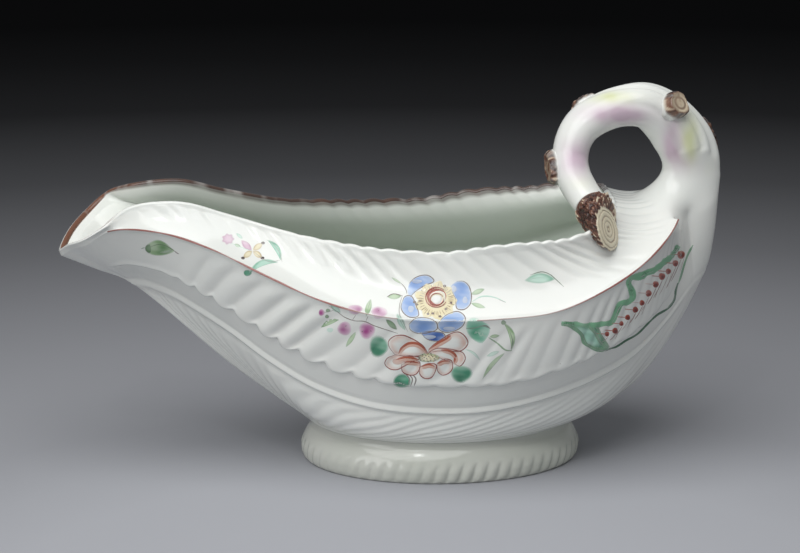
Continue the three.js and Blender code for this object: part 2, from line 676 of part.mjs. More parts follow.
const body = new THREE.Group();
body.position.z = BOWL_BASE;
const grownStalk = stalkGeometry(GAP);
add(body, "leaf_bowl", bowlGeometry(), glaze);
add(body, "stalk_handle", stalkGeometry(), stalkGlaze);
add(body, "branch_end", cutBy(branchGeometry(), bowlGeometry(GAP)), bark);
for (const twig of TWIGS) add(body, twig.name, cutBy(twigGeometry(twig), grownStalk), bark);
sauceboat.add(body);

// The origin goes under the middle of the whole
const extent = new THREE.Box3().setFromObject(sauceboat);
const middle = extent.getCenter(new THREE.Vector3());
sauceboat.position.set(-middle.x, -middle.y, 0);

export default sauceboat;
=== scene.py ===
"""The looks of a leaf-moulded porcelain sauceboat: the pressed hull with its veins, the oval gadrooned
foot, the twisted stalk handle with its sawn branch end and lopped twigs, and the enamel painting.

Lengths in the classes are millimetres, in the potter's own frame: x from the spout to the stern along the
hull's stations, y away from the near side, z up from the bowl's base. Frame.offset moves them into the
shared frame, and MM turns them into metres.
"""

import logging
import math
from dataclasses import dataclass, field
from enum import Enum
from typing import Callable

import bpy
import numpy as np
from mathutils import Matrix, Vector
from mathutils.bvhtree import BVHTree


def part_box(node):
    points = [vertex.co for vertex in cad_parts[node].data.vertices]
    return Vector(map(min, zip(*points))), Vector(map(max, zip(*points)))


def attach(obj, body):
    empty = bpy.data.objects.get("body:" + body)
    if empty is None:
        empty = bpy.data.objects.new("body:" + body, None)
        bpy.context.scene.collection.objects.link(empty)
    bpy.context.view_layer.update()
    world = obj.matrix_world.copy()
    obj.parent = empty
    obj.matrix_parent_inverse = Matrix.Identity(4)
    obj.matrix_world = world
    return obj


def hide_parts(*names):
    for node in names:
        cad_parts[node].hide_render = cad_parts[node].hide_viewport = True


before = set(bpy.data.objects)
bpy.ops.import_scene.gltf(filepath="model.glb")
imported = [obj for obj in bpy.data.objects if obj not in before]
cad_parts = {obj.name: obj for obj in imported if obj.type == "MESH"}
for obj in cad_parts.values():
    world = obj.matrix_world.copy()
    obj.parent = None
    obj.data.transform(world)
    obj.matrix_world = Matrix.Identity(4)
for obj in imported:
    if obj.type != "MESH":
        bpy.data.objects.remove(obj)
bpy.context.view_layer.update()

LOG = logging.getLogger("sauceboat")
MM = 0.001
TINT = "tint"
WELD_STEPS = 2000
MIRROR = np.array([1.0, -1.0, 1.0])
RIBBON = np.array([-1.0, -0.6, 0.0, 0.6, 1.0])
RIBBON_RISE = np.array([-0.6, 1.2, 1.7, 1.2, -0.6])
RIBBON_COVER = np.array([0.6, 1.0, 1.0, 1.0, 0.6])
Array = np.ndarray
Socket = bpy.types.NodeSocket


def smooth(low: float, high: float, x: Array | float) -> Array:
    """An even ramp from 0 at low to 1 at high, level at both ends.

    Args:
        low: where the ramp starts.
        high: where it ends.
        x: the places asked for.

    Returns:
        The ramp's height at each place.
    """
    t = np.clip((np.asarray(x, float) - low) / (high - low), 0.0, 1.0)
    return t * t * (3.0 - 2.0 * t)


def window(ramp: tuple, x: Array | float) -> Array:
    """A ramp up over the first two numbers of four, and down again over the last two."""
    return smooth(ramp[0], ramp[1], x) * (1 - smooth(ramp[2], ramp[3], x))


def lerp(a: Array | float, b: Array | float, t: Array | float) -> Array:
    """The value a share t of the way from a to b."""
    return a + (b - a) * t


def unit(vectors: Array) -> Array:
    """The same directions at length one."""
    return vectors / np.maximum(np.linalg.norm(vectors, axis=-1, keepdims=True), 1e-12)


def spline(points: Array, t: Array, closed: bool = False) -> Array:
    """Places on a centripetal spline through points.

    Args:
        points: the points, shaped (count, 3), or (places, count, 3) where each place has its own curve.
        t: the share of the curve at each place.
        closed: whether the curve runs back to its first point.

    Returns:
        The places, shaped (places, 3).
    """
    t = np.asarray(t, float)
    if points.ndim == 2:
        points = np.broadcast_to(points, (len(t), *points.shape))
    count = points.shape[1]
    run = (count if closed else count - 1) * t
    start = np.floor(run).astype(int)
    share = run - start
    if not closed:
        last = start >= count - 1
        start[last] = count - 2
        share[last] = 1.0
    index = start[:, None] + np.arange(-1, 3)[None, :]
    if closed:
        knots = np.take_along_axis(points, (index % count)[:, :, None], axis=1)
    else:
        knots = np.take_along_axis(points, np.clip(index, 0, count - 1)[:, :, None], axis=1).copy()
        low = index[:, 0] < 0
        knots[low, 0] = 2 * points[low, 0] - points[low, 1]
        high = index[:, 3] > count - 1
        knots[high, 3] = 2 * points[high, -1] - points[high, -2]
    tiny = 1e-4
    a, b, c, d = (knots[:, i] for i in range(4))
    gaps = [np.sqrt(np.linalg.norm(q - p, axis=1)) for p, q in ((a, b), (b, c), (c, d))]
    gaps[1] = np.where(gaps[1] < tiny, 1.0, gaps[1])
    gaps[0] = np.where(gaps[0] < tiny, gaps[1], gaps[0])
    gaps[2] = np.where(gaps[2] < tiny, gaps[1], gaps[2])
    g0, g1, g2 = (g[:, None] for g in gaps)
    leave = ((b - a) / g0 - (c - a) / (g0 + g1) + (c - b) / g1) * g1
    arrive = ((c - b) / g1 - (d - b) / (g1 + g2) + (d - c) / g2) * g1
    w = share[:, None]
    square = -3 * b + 3 * c - 2 * leave - arrive
    cube = 2 * b - 2 * c + leave + arrive
    return b + leave * w + square * w**2 + cube * w**3


class Drift:
    """A slow seeded wander along one or more directions, for what a hand leaves uneven."""

    def __init__(self, seed: int, waves: int = 6, dimensions: int = 1) -> None:
        """Draws the waves.

        Args:
            seed: the seed of the draw.
            waves: how many waves are added up.
            dimensions: how many numbers a place has.
        """
        rng = np.random.default_rng(seed)
        self.pull = rng.normal(0.0, 1.0, (waves, dimensions))
        self.phase = rng.uniform(0.0, 2 * math.pi, waves)
        self.size = 1.0 / math.sqrt(waves / 2.0)

    def __call__(self, *places: Array) -> Array:
        """The wander at each place, about from -1 to 1.

        Args:
            places: one array for each dimension, all of one shape.

        Returns:
            An array of the same shape.
        """
        total = np.zeros(np.broadcast(*places).shape)
        for pull, phase in zip(self.pull, self.phase):
            total += np.sin(sum(k * p for k, p in zip(pull, places)) + phase)
        return total * self.size * 0.5


@dataclass(frozen=True)
class Frame:
    """Where the potter's own frame lies in the shared one."""

    foot_centre: float = 13.0
    foot_height: float = 12.6
    gap: float = 0.3

    @property
    def shift(self) -> float:
        """How far the stations move along x, in millimetres."""
        low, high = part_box("foot_ring")
        return (low.x + high.x) / 2 / MM - self.foot_centre

    @property
    def base(self) -> float:
        """The height of the bowl's base above the table."""
        return self.foot_height + self.gap

    @property
    def offset(self) -> Array:
        """What is added to a place in the potter's frame, in millimetres."""
        return np.array([self.shift, 0.0, self.base])


@dataclass(frozen=True)
class View:
    """The camera's place. Its frame is 800 wide and 553 high, and places in it run right and down."""

    frame_: Frame
    azimuth: float = -5.0
    elevation: float = 14.0
    distance: float = 1000.0
    scale: float = 3.14
    width: float = 800.0
    height: float = 553.0
    lift: float = 3.5
    aim: float = 60.0
    sensor: float = 36.0
    clip: float = 0.05

    @property
    def axes(self) -> tuple[Array, Array, Array]:
        """The directions to the camera, to its right and up."""
        a, e = math.radians(self.azimuth), math.radians(self.elevation)
        back = np.array([math.sin(a) * math.cos(e), -math.cos(a) * math.cos(e), math.sin(e)])
        right = np.array([math.cos(a), math.sin(a), 0.0])
        return back, right, np.cross(back, right)

    @property
    def eye(self) -> Array:
        """The camera's place in millimetres."""
        return np.array([self.frame_.shift, 0.0, self.aim]) + self.axes[0] * self.distance

    def rays(self, places: Array) -> Array:
        """The directions in which the camera sees places of its frame.

        Args:
            places: places in the frame, shaped (count, 2).

        Returns:
            Unit vectors.
        """
        back, right, up = self.axes
        flat = (places - (self.width / 2, self.height / 2 - self.lift)) / (self.scale * self.distance)
        return unit(-back + flat[:, :1] * right - flat[:, 1:] * up)

    def seen(self, points: Array) -> Array:
        """Where the camera sees points.

        Args:
            points: millimetres in the shared frame, shaped (..., 3).

        Returns:
            Places in the frame, shaped (..., 2).
        """
        back, right, up = self.axes
        away = points - self.eye
        flat = np.stack([away @ right, -(away @ up)], axis=-1) / -(away @ back)[..., None]
        return flat * self.scale * self.distance + (self.width / 2, self.height / 2 - self.lift)

    def build(self) -> None:
        """Makes the camera."""
        back = Vector(self.axes[0])
        data = bpy.data.cameras.new("camera")
        data.sensor_width = self.sensor
        data.lens = self.scale * self.distance / self.width * data.sensor_width
        data.shift_y = -self.lift / self.width
        data.clip_start = self.clip
        camera = bpy.data.objects.new("camera", data)
        camera.location = Vector(self.eye) * MM
        camera.rotation_euler = (-back).to_track_quat("-Z", "Y").to_euler()
        bpy.context.scene.collection.objects.link(camera)
        bpy.context.scene.camera = camera


@dataclass
class Skin:
    """A mesh in the making: places in millimetres, faces, and a tint for each place.

    The sheets that are added while part has one number become one object, which meets the others' edges.
    """

    points: list[Array] = field(default_factory=list)
    faces: list[Array] = field(default_factory=list)
    tints: list[Array] = field(default_factory=list)
    parts: list[int] = field(default_factory=list)
    count: int = 0
    part: int = 0

    def add(self, rows: Array, closed: bool = False, tint: Array | None = None, faces: bool = True) -> Array:
        """Adds a sheet of quads between rows of points.

        Args:
            rows: the points, shaped (rows, columns, 3).
            closed: whether the last column joins the first.
            tint: colours with an alpha, shaped (rows, columns, 4) or less.
            faces: whether the quads are added too.

        Returns:
            The index of each point, shaped (rows, columns).
        """
        height, width = rows.shape[:2]
        index = np.arange(height * width).reshape(height, width) + self.count
        self.points.append(rows.reshape(-1, 3))
        if tint is None:
            tint = np.zeros(4)
        self.tints.append(np.broadcast_to(tint, (height, width, 4)).reshape(-1, 4))
        self.count += height * width
        if faces:
            self.sheet(index, closed)
        return index

    def sheet(self, index: Array, closed: bool = False) -> None:
        """Adds the quads between rows of points that are already there.

        Args:
            index: the points' indices, shaped (rows, columns).
            closed: whether the last column joins the first.
        """
        if closed:
            index = np.concatenate([index, index[:, :1]], axis=1)
        quads = np.stack([index[:-1, :-1], index[1:, :-1], index[1:, 1:], index[:-1, 1:]], axis=-1)
        self.faces.append(quads.reshape(-1, 4))
        self.parts.append(self.part)

    def fan(self, ring: Array, middle: Array, flipped: bool = False, tint: Array | None = None) -> None:
        """Closes a ring of points towards a middle point.

        Args:
            ring: the points' indices in order.
            middle: the middle point.
            flipped: whether the faces turn the other way.
            tint: the middle point's colour.
        """
        centre = self.add(np.asarray(middle, float).reshape(1, 1, 3), tint=tint, faces=False)[0, 0]
        pair = (np.roll(ring, -1), ring) if flipped else (ring, np.roll(ring, -1))
        self.faces.append(np.stack([*pair, np.full_like(ring, centre), np.full_like(ring, -1)], axis=1))
        self.parts.append(self.part)

    def weld(self) -> tuple[Array, Array, list, Array]:
        """Joins coincident points.

        Returns:
            The points, their tints, the faces, and each face's part.
        """
        points = np.concatenate(self.points)
        keys = np.round(points * WELD_STEPS).astype(np.int64)
        _, first, back = np.unique(keys, axis=0, return_index=True, return_inverse=True)
        back = back.reshape(-1)
        faces, labels = [], []
        for block, part in zip(self.faces, self.parts):
            for face in np.where(block < 0, -1, back[block]).tolist():
                face = [c for c in face if c >= 0]
                corners = [c for i, c in enumerate(face) if c != face[i - 1]]
                if len(set(corners)) > 2:
                    faces.append(corners)
                    labels.append(part)
        return points[first], np.concatenate(self.tints)[first], faces, np.array(labels)

    @staticmethod
    def soften(points: Array, faces: list, ring: Array, reach: float, rounds: int) -> None:
        """Rounds a corner off by letting its points settle between their neighbours.

        Args:
            points: all points, which are changed in place.
            faces: all faces.
            ring: points along the corner.
            reach: how far from the corner the rounding ends.
            rounds: how often the points settle.
        """
        away = np.full(len(points), np.inf)
        for place in ring:
            away = np.minimum(away, np.linalg.norm(points - place, axis=1))
        own = np.flatnonzero(away < reach)
        place_of = np.full(len(points), -1)
        place_of[own] = np.arange(len(own))
        edges = ((a, b) for face in faces for a, b in zip(face, face[1:] + face[:1]))
        pairs = {tuple(sorted(edge)) for edge in edges if place_of[edge[0]] >= 0 and place_of[edge[1]] >= 0}
        a, b = place_of[np.array(sorted(pairs)).T]
        count = len(own)
        degree = np.maximum(np.bincount(a, minlength=count) + np.bincount(b, minlength=count), 1)
        weight = (1 - smooth(0.1 * reach, 0.95 * reach, away[own]))[:, None]
        part = points[own]
        for _ in range(rounds):
            total = [np.bincount(a, part[b, k], count) + np.bincount(b, part[a, k], count) for k in range(3)]
            part += weight * (np.stack(total, axis=1) / degree[:, None] - part)
        points[own] = part

    def build(self, names: list[str], offset: Array, corner: tuple | None = None) -> list[bpy.types.Object]:
        """Makes the Blender objects, one for each part, shaded as one skin.

        Args:
            names: the pieces' names.
            offset: what is added to each place.
            corner: a ring of points, a reach and a number of rounds for soften.

        Returns:
            The objects.
        """
        points, tints, faces, labels = self.weld()
        if corner:
            self.soften(points, faces, *corner)
        places = (points + offset) * MM
        whole = bpy.data.meshes.new(names[0])
        whole.from_pydata(places, [], faces)
        whole.update()
        normals = np.empty(len(places) * 3, np.float32)
        whole.vertex_normals.foreach_get("vector", normals)
        bpy.data.meshes.remove(whole)
        normals = normals.reshape(-1, 3)
        pieces = []
        for part, name in enumerate(names):
            own = [face for face, label in zip(faces, labels) if label == part]
            used = np.unique(np.concatenate([np.array(face) for face in own]))
            renumber = np.zeros(len(places), int)
            renumber[used] = np.arange(len(used))
            mesh = bpy.data.meshes.new(name)
            mesh.from_pydata(places[used], [], [[int(renumber[c]) for c in face] for face in own])
            mesh.polygons.foreach_set("use_smooth", np.ones(len(mesh.polygons), bool))
            layer = mesh.color_attributes.new(name=TINT, type="FLOAT_COLOR", domain="POINT")
            layer.data.foreach_set("color", tints[used].astype(np.float32).ravel())
            if len(names) > 1:
                mesh.normals_split_custom_set_from_vertices(normals[used])
            piece = bpy.data.objects.new(name, mesh)
            bpy.context.scene.collection.objects.link(piece)
            pieces.append(piece)
        return pieces


class Side(Enum):
    """The two sides of the hull."""

    NEAR = 1.0
    FAR = -1.0


class Pigment(Enum):
    """The enamels' colours, the tones that the glaze itself takes, and the inside's grey green, partly glaze that
    pools there and partly painted shade.
    """

    LEAF = (0.15, 0.30, 0.13)
    LEAF_DEEP = (0.055, 0.13, 0.05)
    LEAF_PALE = (0.42, 0.58, 0.34)
    FERN = (0.055, 0.27, 0.11)
    FERN_DEEP = (0.02, 0.12, 0.05)
    FERN_PALE = (0.16, 0.45, 0.24)
    TEAL = (0.09, 0.36, 0.22)
    TEAL_DEEP = (0.04, 0.21, 0.12)
    TEAL_PALE = (0.42, 0.70, 0.57)
    PURPLE = (0.36, 0.06, 0.24)
    LILAC = (0.68, 0.42, 0.58)
    BLUE = (0.20, 0.34, 0.66)
    BLUE_DEEP = (0.04, 0.12, 0.42)
    BLUE_PALE = (0.36, 0.50, 0.76)
    CREAM = (0.78, 0.70, 0.45)
    OCHRE = (0.42, 0.28, 0.11)
    IRON = (0.40, 0.075, 0.025)
    IRON_PALE = (0.66, 0.34, 0.24)
    ROSE = (0.46, 0.13, 0.10)
    BERRY = (0.42, 0.07, 0.035)
    BERRY_DEEP = (0.16, 0.02, 0.018)
    RED_LINE = (0.26, 0.045, 0.03)
    BROWN_LINE = (0.10, 0.05, 0.04)
    BARK = (0.12, 0.048, 0.03)
    BARK_DEEP = (0.035, 0.012, 0.008)
    BARK_PALE = (0.27, 0.14, 0.09)
    SAWN = (0.76, 0.69, 0.52)
    STUMP = (0.40, 0.26, 0.15)
    RIM = (0.05, 0.022, 0.014)
    RIM_WARM = (0.15, 0.05, 0.02)
    WHITE = (0.83, 0.85, 0.81)
    # grey green inside the bowl: partly pooled glaze, partly painted shade
    INSIDE = (0.47, 0.53, 0.46)
    HANDLE_LILAC = (0.60, 0.46, 0.55)
    HANDLE_GREEN = (0.68, 0.72, 0.42)

    def rgba(self, alpha: float = 1.0) -> Array:
        """The colour with an alpha."""
        return np.array([*self.value, alpha])


class Pair(Enum):
    """An enamel, and the colour that it has where it pools."""

    LEAF = (Pigment.LEAF_PALE, Pigment.LEAF)
    DARK_LEAF = (Pigment.LEAF, Pigment.LEAF_DEEP)
    TEAL = (Pigment.TEAL_PALE, Pigment.TEAL)
    DARK_TEAL = (Pigment.TEAL, Pigment.TEAL_DEEP)
    FERN = (Pigment.TEAL_PALE, Pigment.FERN)
    BUD = (Pigment.LILAC, Pigment.PURPLE)
    WING = (Pigment.CREAM, Pigment.OCHRE)
    BLUE = (Pigment.BLUE_PALE, Pigment.BLUE)
    DARK_BLUE = (Pigment.BLUE, Pigment.BLUE_DEEP)
    RING = (Pigment.ROSE, Pigment.IRON)
    RING_INSIDE = (Pigment.CREAM, Pigment.WHITE)
    PETAL = (Pigment.WHITE, Pigment.IRON_PALE)
    FOLD = (Pigment.IRON_PALE, Pigment.IRON)
    SEEDS = (Pigment.CREAM, Pigment.LEAF)
    BERRY = (Pigment.BERRY, Pigment.BERRY_DEEP)


@dataclass
class Hull:
    """The lines of the pressed hull and the smooth patches between them, as the mould has them.

    Each station gives a point of the rim, of the ridge and of the lower rib as [x, half width, height], the
    place on the foot's oval in degrees from the front, and three fullnesses: the hollow of the shoulder, the
    swell under the ridge, and the belly.
    """

    stations: tuple = (
        ((-107.8, 0, 56.8), (-107.2, 0, 55.3), (-86, 0, 46.2), 0, (0, 0, 1.6)),
        ((-105, 10.5, 60.6), (-103.7, 10, 59.4), (-85, 1.2, 46.2), 3, (0, 0.2, 1.6)),
        ((-99.5, 20.5, 64.7), (-98.3, 19.7, 63.4), (-83, 2.6, 46), 5.5, (0.1, 0.6, 1.6)),
        ((-93, 24.2, 69.3), (-91.4, 23.2, 68.2), (-79.5, 4.6, 45), 8.5, (0.3, 1, 1.6)),
        ((-84, 17.3, 73.7), (-76, 22.3, 67), (-73, 7.5, 42.9), 12.5, (0.7, 1.5, 1.7)),
        ((-71, 17.6, 74.9), (-61, 27.7, 63), (-65, 11.2, 38.7), 18, (1.1, 1.8, 1.9)),
        ((-57, 19, 71.5), (-45, 34.4, 56.1), (-55, 16.4, 32.9), 25, (1.5, 2, 2.1)),
        ((-42, 22.8, 67.3), (-28, 40.8, 49.2), (-43, 22.8, 24.9), 34, (1.8, 2, 2.6)),
        ((-26, 29.4, 64.6), (-11, 46, 45.3), (-29, 29.4, 17.7), 45, (1.9, 2, 2.5)),
        ((-9, 35.2, 62.6), (7, 48.8, 44.1), (-12, 35.8, 13.1), 58, (1.9, 2, 2)),
        ((8, 38.7, 62.3), (26, 49.5, 44.3), (6, 39.1, 11.6), 72, (1.9, 2, 1.5)),
        ((24, 39.8, 63.4), (44, 48, 45.9), (24, 39.6, 12), 87, (2, 2, 1.5)),
        ((38, 39.6, 64.5), (60, 43.6, 51.5), (42, 36.6, 14.7), 103, (2.2, 2, 2)),
        ((50, 38, 65.6), (73, 36.7, 58.2), (58, 30.5, 18.7), 118, (2.6, 2, 3)),
        ((60, 32.5, 67.4), (82, 28.8, 65.3), (72, 22.5, 24.5), 134, (3.1, 1.8, 4.5)),
        ((65.5, 22, 69.9), (87, 18.9, 71.2), (83, 15, 33), 150, (3.5, 1.5, 6)),
        ((67, 10, 71.7), None, (92.5, 8, 42.5), 165, (3.6, 1.2, 7.5)),
        ((67, 0, 72.1), None, (98.3, 0, 46), 180, (3.6, 1, 8)),
    )
    seat_x: float = 92.4
    seat_height: float = 77.0
    seat_depth: float = 9.4
    seat_width: float = 7.2
    seat_split: float = 70.0
    swell: float = 0.07
    foot_length: float = 42.0
    foot_width: float = 32.3
    foot_centre: float = 13.0
    belly_length: float = 55.0
    edge_shares: tuple = (0.5, 0.68)
    under_share: float = 0.6
    step: float = 0.01
    fine_step: float = 0.004

    def __post_init__(self) -> None:
        """Works out the lines' points."""
        self.last = len(self.stations) - 1
        self.split = (self.last - 1) / self.last
        rims, ridges, ribs, feet, fulls = zip(*self.stations)
        ridges = [np.array(p) * MIRROR for p in ridges[:-2]]
        ridges += list(self.seat(np.array([self.seat_split, 180.0])))
        turn = np.radians(feet)
        x, y = self.foot_centre - self.foot_length * np.cos(turn), -self.foot_width * np.sin(turn)
        fulls = np.array(fulls, float)
        self.rim_points = self.round(np.array(rims) * MIRROR)
        self.ridge_points = self.round(np.array(ridges))
        self.rib_points = self.round(np.array(ribs) * MIRROR)
        self.foot_points = self.round(np.stack([x, y, 0 * turn], axis=1))
        self.full_points = np.concatenate([fulls, fulls[1:-1][::-1]])

    @staticmethod
    def round(near: Array) -> Array:
        """Runs a near side's line on round the far side."""
        return np.concatenate([near, near[1:-1][::-1] * MIRROR])

    def outline(self, degrees: Array, depth: Array | float, width: Array | float,
                twist: Array | float = 0.0) -> Array:
        """The stalk's section, from its front (0 degrees, towards the opening) to its back (180).

        Args:
            degrees: places round the section.
            depth: half its depth.
            width: half its width.
            twist: how far the strands have turned.

        Returns:
            The section's x and y, shaped (..., 2).
        """
        turn = np.radians(degrees)
        grown = 1 + self.swell * np.cos(2 * (turn - np.radians(twist)))
        return np.stack([-np.cos(turn) * depth * grown, -np.sin(turn) * width * grown], axis=-1)

    def seat(self, degrees: Array) -> Array:
        """Points of the stalk's seat on the stern."""
        flat = self.outline(degrees, self.seat_depth, self.seat_width)
        return np.stack([self.seat_x + flat[:, 0], flat[:, 1], np.full(len(flat), self.seat_height)], axis=1)

    def rim(self, s: Array) -> Array:
        """The rim's line."""
        return spline(self.rim_points, s / 2 % 1, closed=True)

    def rib(self, s: Array) -> Array:
        """The lower leaf's midrib."""
        return spline(self.rib_points, s / 2 % 1, closed=True)

    def foot(self, s: Array) -> Array:
        """The line on the foot."""
        return spline(self.foot_points, s / 2 % 1, closed=True)

    def full(self, s: Array) -> Array:
        """The three fullnesses."""
        return spline(self.full_points, s / 2 % 1, closed=True)

    def ridge(self, s: Array, end: float) -> Array:
        """The ridge, which past the split follows the stalk's outline.

        Args:
            s: places along the hull.
            end: the degrees of the stalk's outline at which it ends, 0 for its front and 180 for its back.

        Returns:
            Points in millimetres.
        """
        line = spline(self.ridge_points, s / 2 % 1, closed=True)
        share = np.clip((s - self.split) / (1 - self.split), 0, 1)
        seat = self.seat(lerp(self.seat_split, end, share))
        return np.where((s < self.split)[:, None], line, seat)

    def blade(self, s: Array, v: Array) -> Array:
        """The smooth upper leaf.

        Args:
            s: places along the hull.
            v: places down from the rim (0) to the ridge (1).

        Returns:
            Points in millimetres.
        """
        step = self.step
        rim = self.rim(s)
        ridge = self.ridge(s, 0)
        along = self.ridge(np.minimum(s + step, 1), 0) - self.ridge(np.maximum(s - step, 0), 0)
        along = along + self.rim(s + step / 2) - self.rim(s - step / 2)
        outward = unit(np.cross(ridge - rim, along))
        middle = (rim + ridge) / 2 - outward * self.full(s)[:, :1]
        control = 2 * middle - 0.5 * rim - 0.5 * ridge
        w = v[:, None]
        return (1 - w) ** 2 * rim + 2 * w * (1 - w) * control + w**2 * ridge

    def belly(self, s: Array, v: Array) -> Array:
        """The smooth hull below the ridge.

        Args:
            s: places along the hull.
            v: places down from the ridge (0) by the leaf edge and the rib (0.5) to the foot (1).

        Returns:
            Points in millimetres.
        """
        ridge = self.ridge(s, 180)
        rib = self.rib(s)
        foot = self.foot(s)
        full = self.full(s)
        along = self.rib(s + self.step) - self.rib(s - self.step)
        share = lerp(*self.edge_shares, smooth(0, 0.5, s))[:, None]
        edge = lerp(ridge, rib, share) + unit(np.cross(rib - ridge, along)) * full[:, 1:2]
        under = lerp(rib, foot, self.under_share) + unit(np.cross(foot - rib, along)) * full[:, 2:3]
        return spline(np.stack([ridge, edge, rib, under, foot], axis=1), v)

    def normal(self, patch: Callable[[Array, Array], Array], s: Array, v: Array) -> Array:
        """The outward normal of one of the two patches.

        Args:
            patch: blade or belly.
            s: places along the hull.
            v: places down the patch.

        Returns:
            Unit vectors.
        """
        step = self.fine_step
        along = patch(np.minimum(s + step, 1), v) - patch(np.maximum(s - step, 0), v)
        down = patch(s, np.minimum(v + step, 1)) - patch(s, np.maximum(v - step, 0))
        normal = unit(np.cross(down, along))
        ends = (s <= 0) | (s >= 1)
        normal[ends, 1] = 0
        return unit(normal)

    def outward(self, s: Array) -> Array:
        """The rim's level direction away from the opening."""
        along = self.rim(s + self.fine_step) - self.rim(s - self.fine_step)
        return unit(np.stack([along[:, 1], -along[:, 0], 0 * s], axis=1))


def flat_curve(places: Array, t: Array, closed: bool = False) -> Array:
    """Places on a spline through flat places, which have two numbers each."""
    return spline(np.concatenate([places, np.zeros((len(places), 1))], axis=1), t, closed)[:, :2]


def welt(phase: Array) -> Array:
    """A broad rounded crest at phase 0 and a narrow valley between crests, from 1 down to about -0.7."""
    return 2 * np.sqrt(np.cos(phase / 2) ** 2 + 0.02) - 1


def groove(distance: Array, width: float) -> Array:
    """A soft dent across a line: 1 on the line, falling to 0 at about width."""
    return np.exp(-((distance / width) ** 2))


@dataclass
class LeafBowl:
    """The hull pressed in a leaf mould, with a vein relief finer than the solid's.

    Places on it are given as s, along the hull from the spout's tip (0) to the stern (1), and v, down the upper
    leaf or down the belly. The ramps are for window, along s or v.
    """

    hull: Hull
    steps: int = 24
    wall: float = 3.0
    tip_wall: float = 1.6
    stern_wall: float = 6.5
    corner_walls: float = 1.2
    middle_share: float = 0.35
    floor: float = 4.0
    floor_rings: tuple = (0.35, 0.6, 0.85)
    lip: float = 2.0
    lip_rise: float = 0.42
    lip_turns: tuple = (0, 12, 24, 38, 52, 66, 80, 96, 115, 135, 158)
    rim_wave: float = 0.62
    rim_ramp: tuple = (0.4, 0.5, 0.9, 0.98)
    blade_vein: float = 0.36
    bold_vein: float = 0.85
    fine_vein: float = 0.25
    lower_vein: float = 0.22
    lower_ramp: tuple = (0.515, 0.57, 0.86, 0.97)
    edge_at: float = 0.247
    edge_ramp: tuple = (0.08, 0.18, 0.72, 0.9)
    edge_step: float = 1.15
    edge_scallop: float = 1.1
    bead: float = 0.25
    rib_at: float = 0.5
    rib_rise: float = 0.65
    rib_dent: float = 0.3
    rib_dents: tuple = ((0.464, 0.012), (0.54, 0.014))
    veins: float = 44.0
    bold_share: float = 0.8
    lower_veins: float = 34.0
    lower_slant: float = 0.34
    # how strongly the inside takes its grey green of pooled glaze and painted shade
    green: float = 0.75
    seat_front: tuple = (-98, 98, 60)
    ridge_end: tuple = (15.3, 16, 9)
    corner_reach: float = 11.0
    corner_rounds: int = 260

    def __post_init__(self) -> None:
        """Draws what the hand left uneven."""
        self.sway = Drift(11, 7, 1)
        self.waver = Drift(12, 8, 2)

    @property
    def blade_rows(self) -> Array:
        """The upper leaf's rows, as places down it."""
        return np.concatenate([[0.0], np.linspace(0.03, 0.93, 28), [0.95, 0.968, 0.984, 1.0]])

    @property
    def belly_rows(self) -> Array:
        """The belly's rows, closest at the ridge, the leaf edge and the rib."""
        spans = ((0.03, 0.225, 18), (0.232, 0.272, 12), (0.285, 0.46, 9), (0.468, 0.535, 13), (0.55, 0.97, 24))
        return np.concatenate([[0.0, 0.006, 0.012, 0.02], *(np.linspace(*span) for span in spans), [0.985, 1.0]])

    def phase(self, s: Array) -> Array:
        """The veins' phase, with their spacing a little uneven."""
        return 2 * math.pi * self.veins * s + 1.8 * self.sway(s * 45)

    def blade_relief(self, s: Array, v: Array) -> Array:
        """The upper leaf's veins, which are strong at the rim and reach the ridge only near the stern.

        Args:
            s: places along the hull.
            v: places down from the rim.

        Returns:
            Heights in millimetres.
        """
        reach = lerp(0.5, 1.05, smooth(0.58, 0.74, s))
        fade = (1 - smooth(reach * 0.25, reach, v)) * smooth(0, 0.12, v + 0.03)
        uneven = 0.85 + 0.5 * self.waver(s * 38, v * 2)
        strong = 0.25 * smooth(0.16, 0.24, s) + 0.75 * smooth(0.3, 0.44, s)
        veins = self.blade_vein * fade * uneven * welt(self.phase(s) - 2.2 * v)
        return veins * strong * (1 - 0.8 * smooth(0.84, 0.97, s))

    def welts(self, s: Array, v: Array) -> Array:
        """The bold welts between the ridge and the leaf edge, and the fine veins that follow them astern.

        Args:
            s: places along the hull.
            v: places down from the ridge.

        Returns:
            Heights in millimetres.
        """
        body = window((0.01, 0.08, self.edge_at - 0.03, self.edge_at - 0.006), v)
        bold = smooth(0.24, 0.36, s) * (1 - 0.55 * smooth(0.43, 0.52, s)) * (1 - smooth(0.58, 0.66, s))
        crests = welt(self.phase(s) * self.bold_share + 15 * v + 1.1 * self.waver(s * 20, v * 6))
        relief = self.bold_vein * bold * body * (0.8 + 0.4 * self.waver(s * 30, v * 4)) * crests
        fine = smooth(0.56, 0.66, s) * (1 - 0.6 * smooth(0.74, 0.84, s)) * (1 - smooth(0.88, 0.95, s)) * body
        crests = welt(self.phase(s) * 1.25 - 11 * v + 0.7 * self.waver(s * 18, v * 7))
        return relief + self.fine_vein * fine * (0.8 + 0.5 * self.waver(s * 26, v * 5)) * crests

    def lower_relief(self, s: Array, v: Array) -> Array:
        """The slanted veins between the lower rib and the foot.

        Args:
            s: places along the hull.
            v: places down from the ridge.

        Returns:
            Heights in millimetres.
        """
        run = s + self.lower_slant * (v - self.rib_at)
        slanted = 2 * math.pi * self.lower_veins * run + 1.4 * self.sway(s * 50 + 9)
        lower = window(self.lower_ramp, v) * smooth(0.05, 0.2, s) * (1 - 0.8 * smooth(0.86, 0.97, s))
        return self.lower_vein * lower * welt(slanted) * (1 - 0.45 * smooth(0.55, 0.8, s))

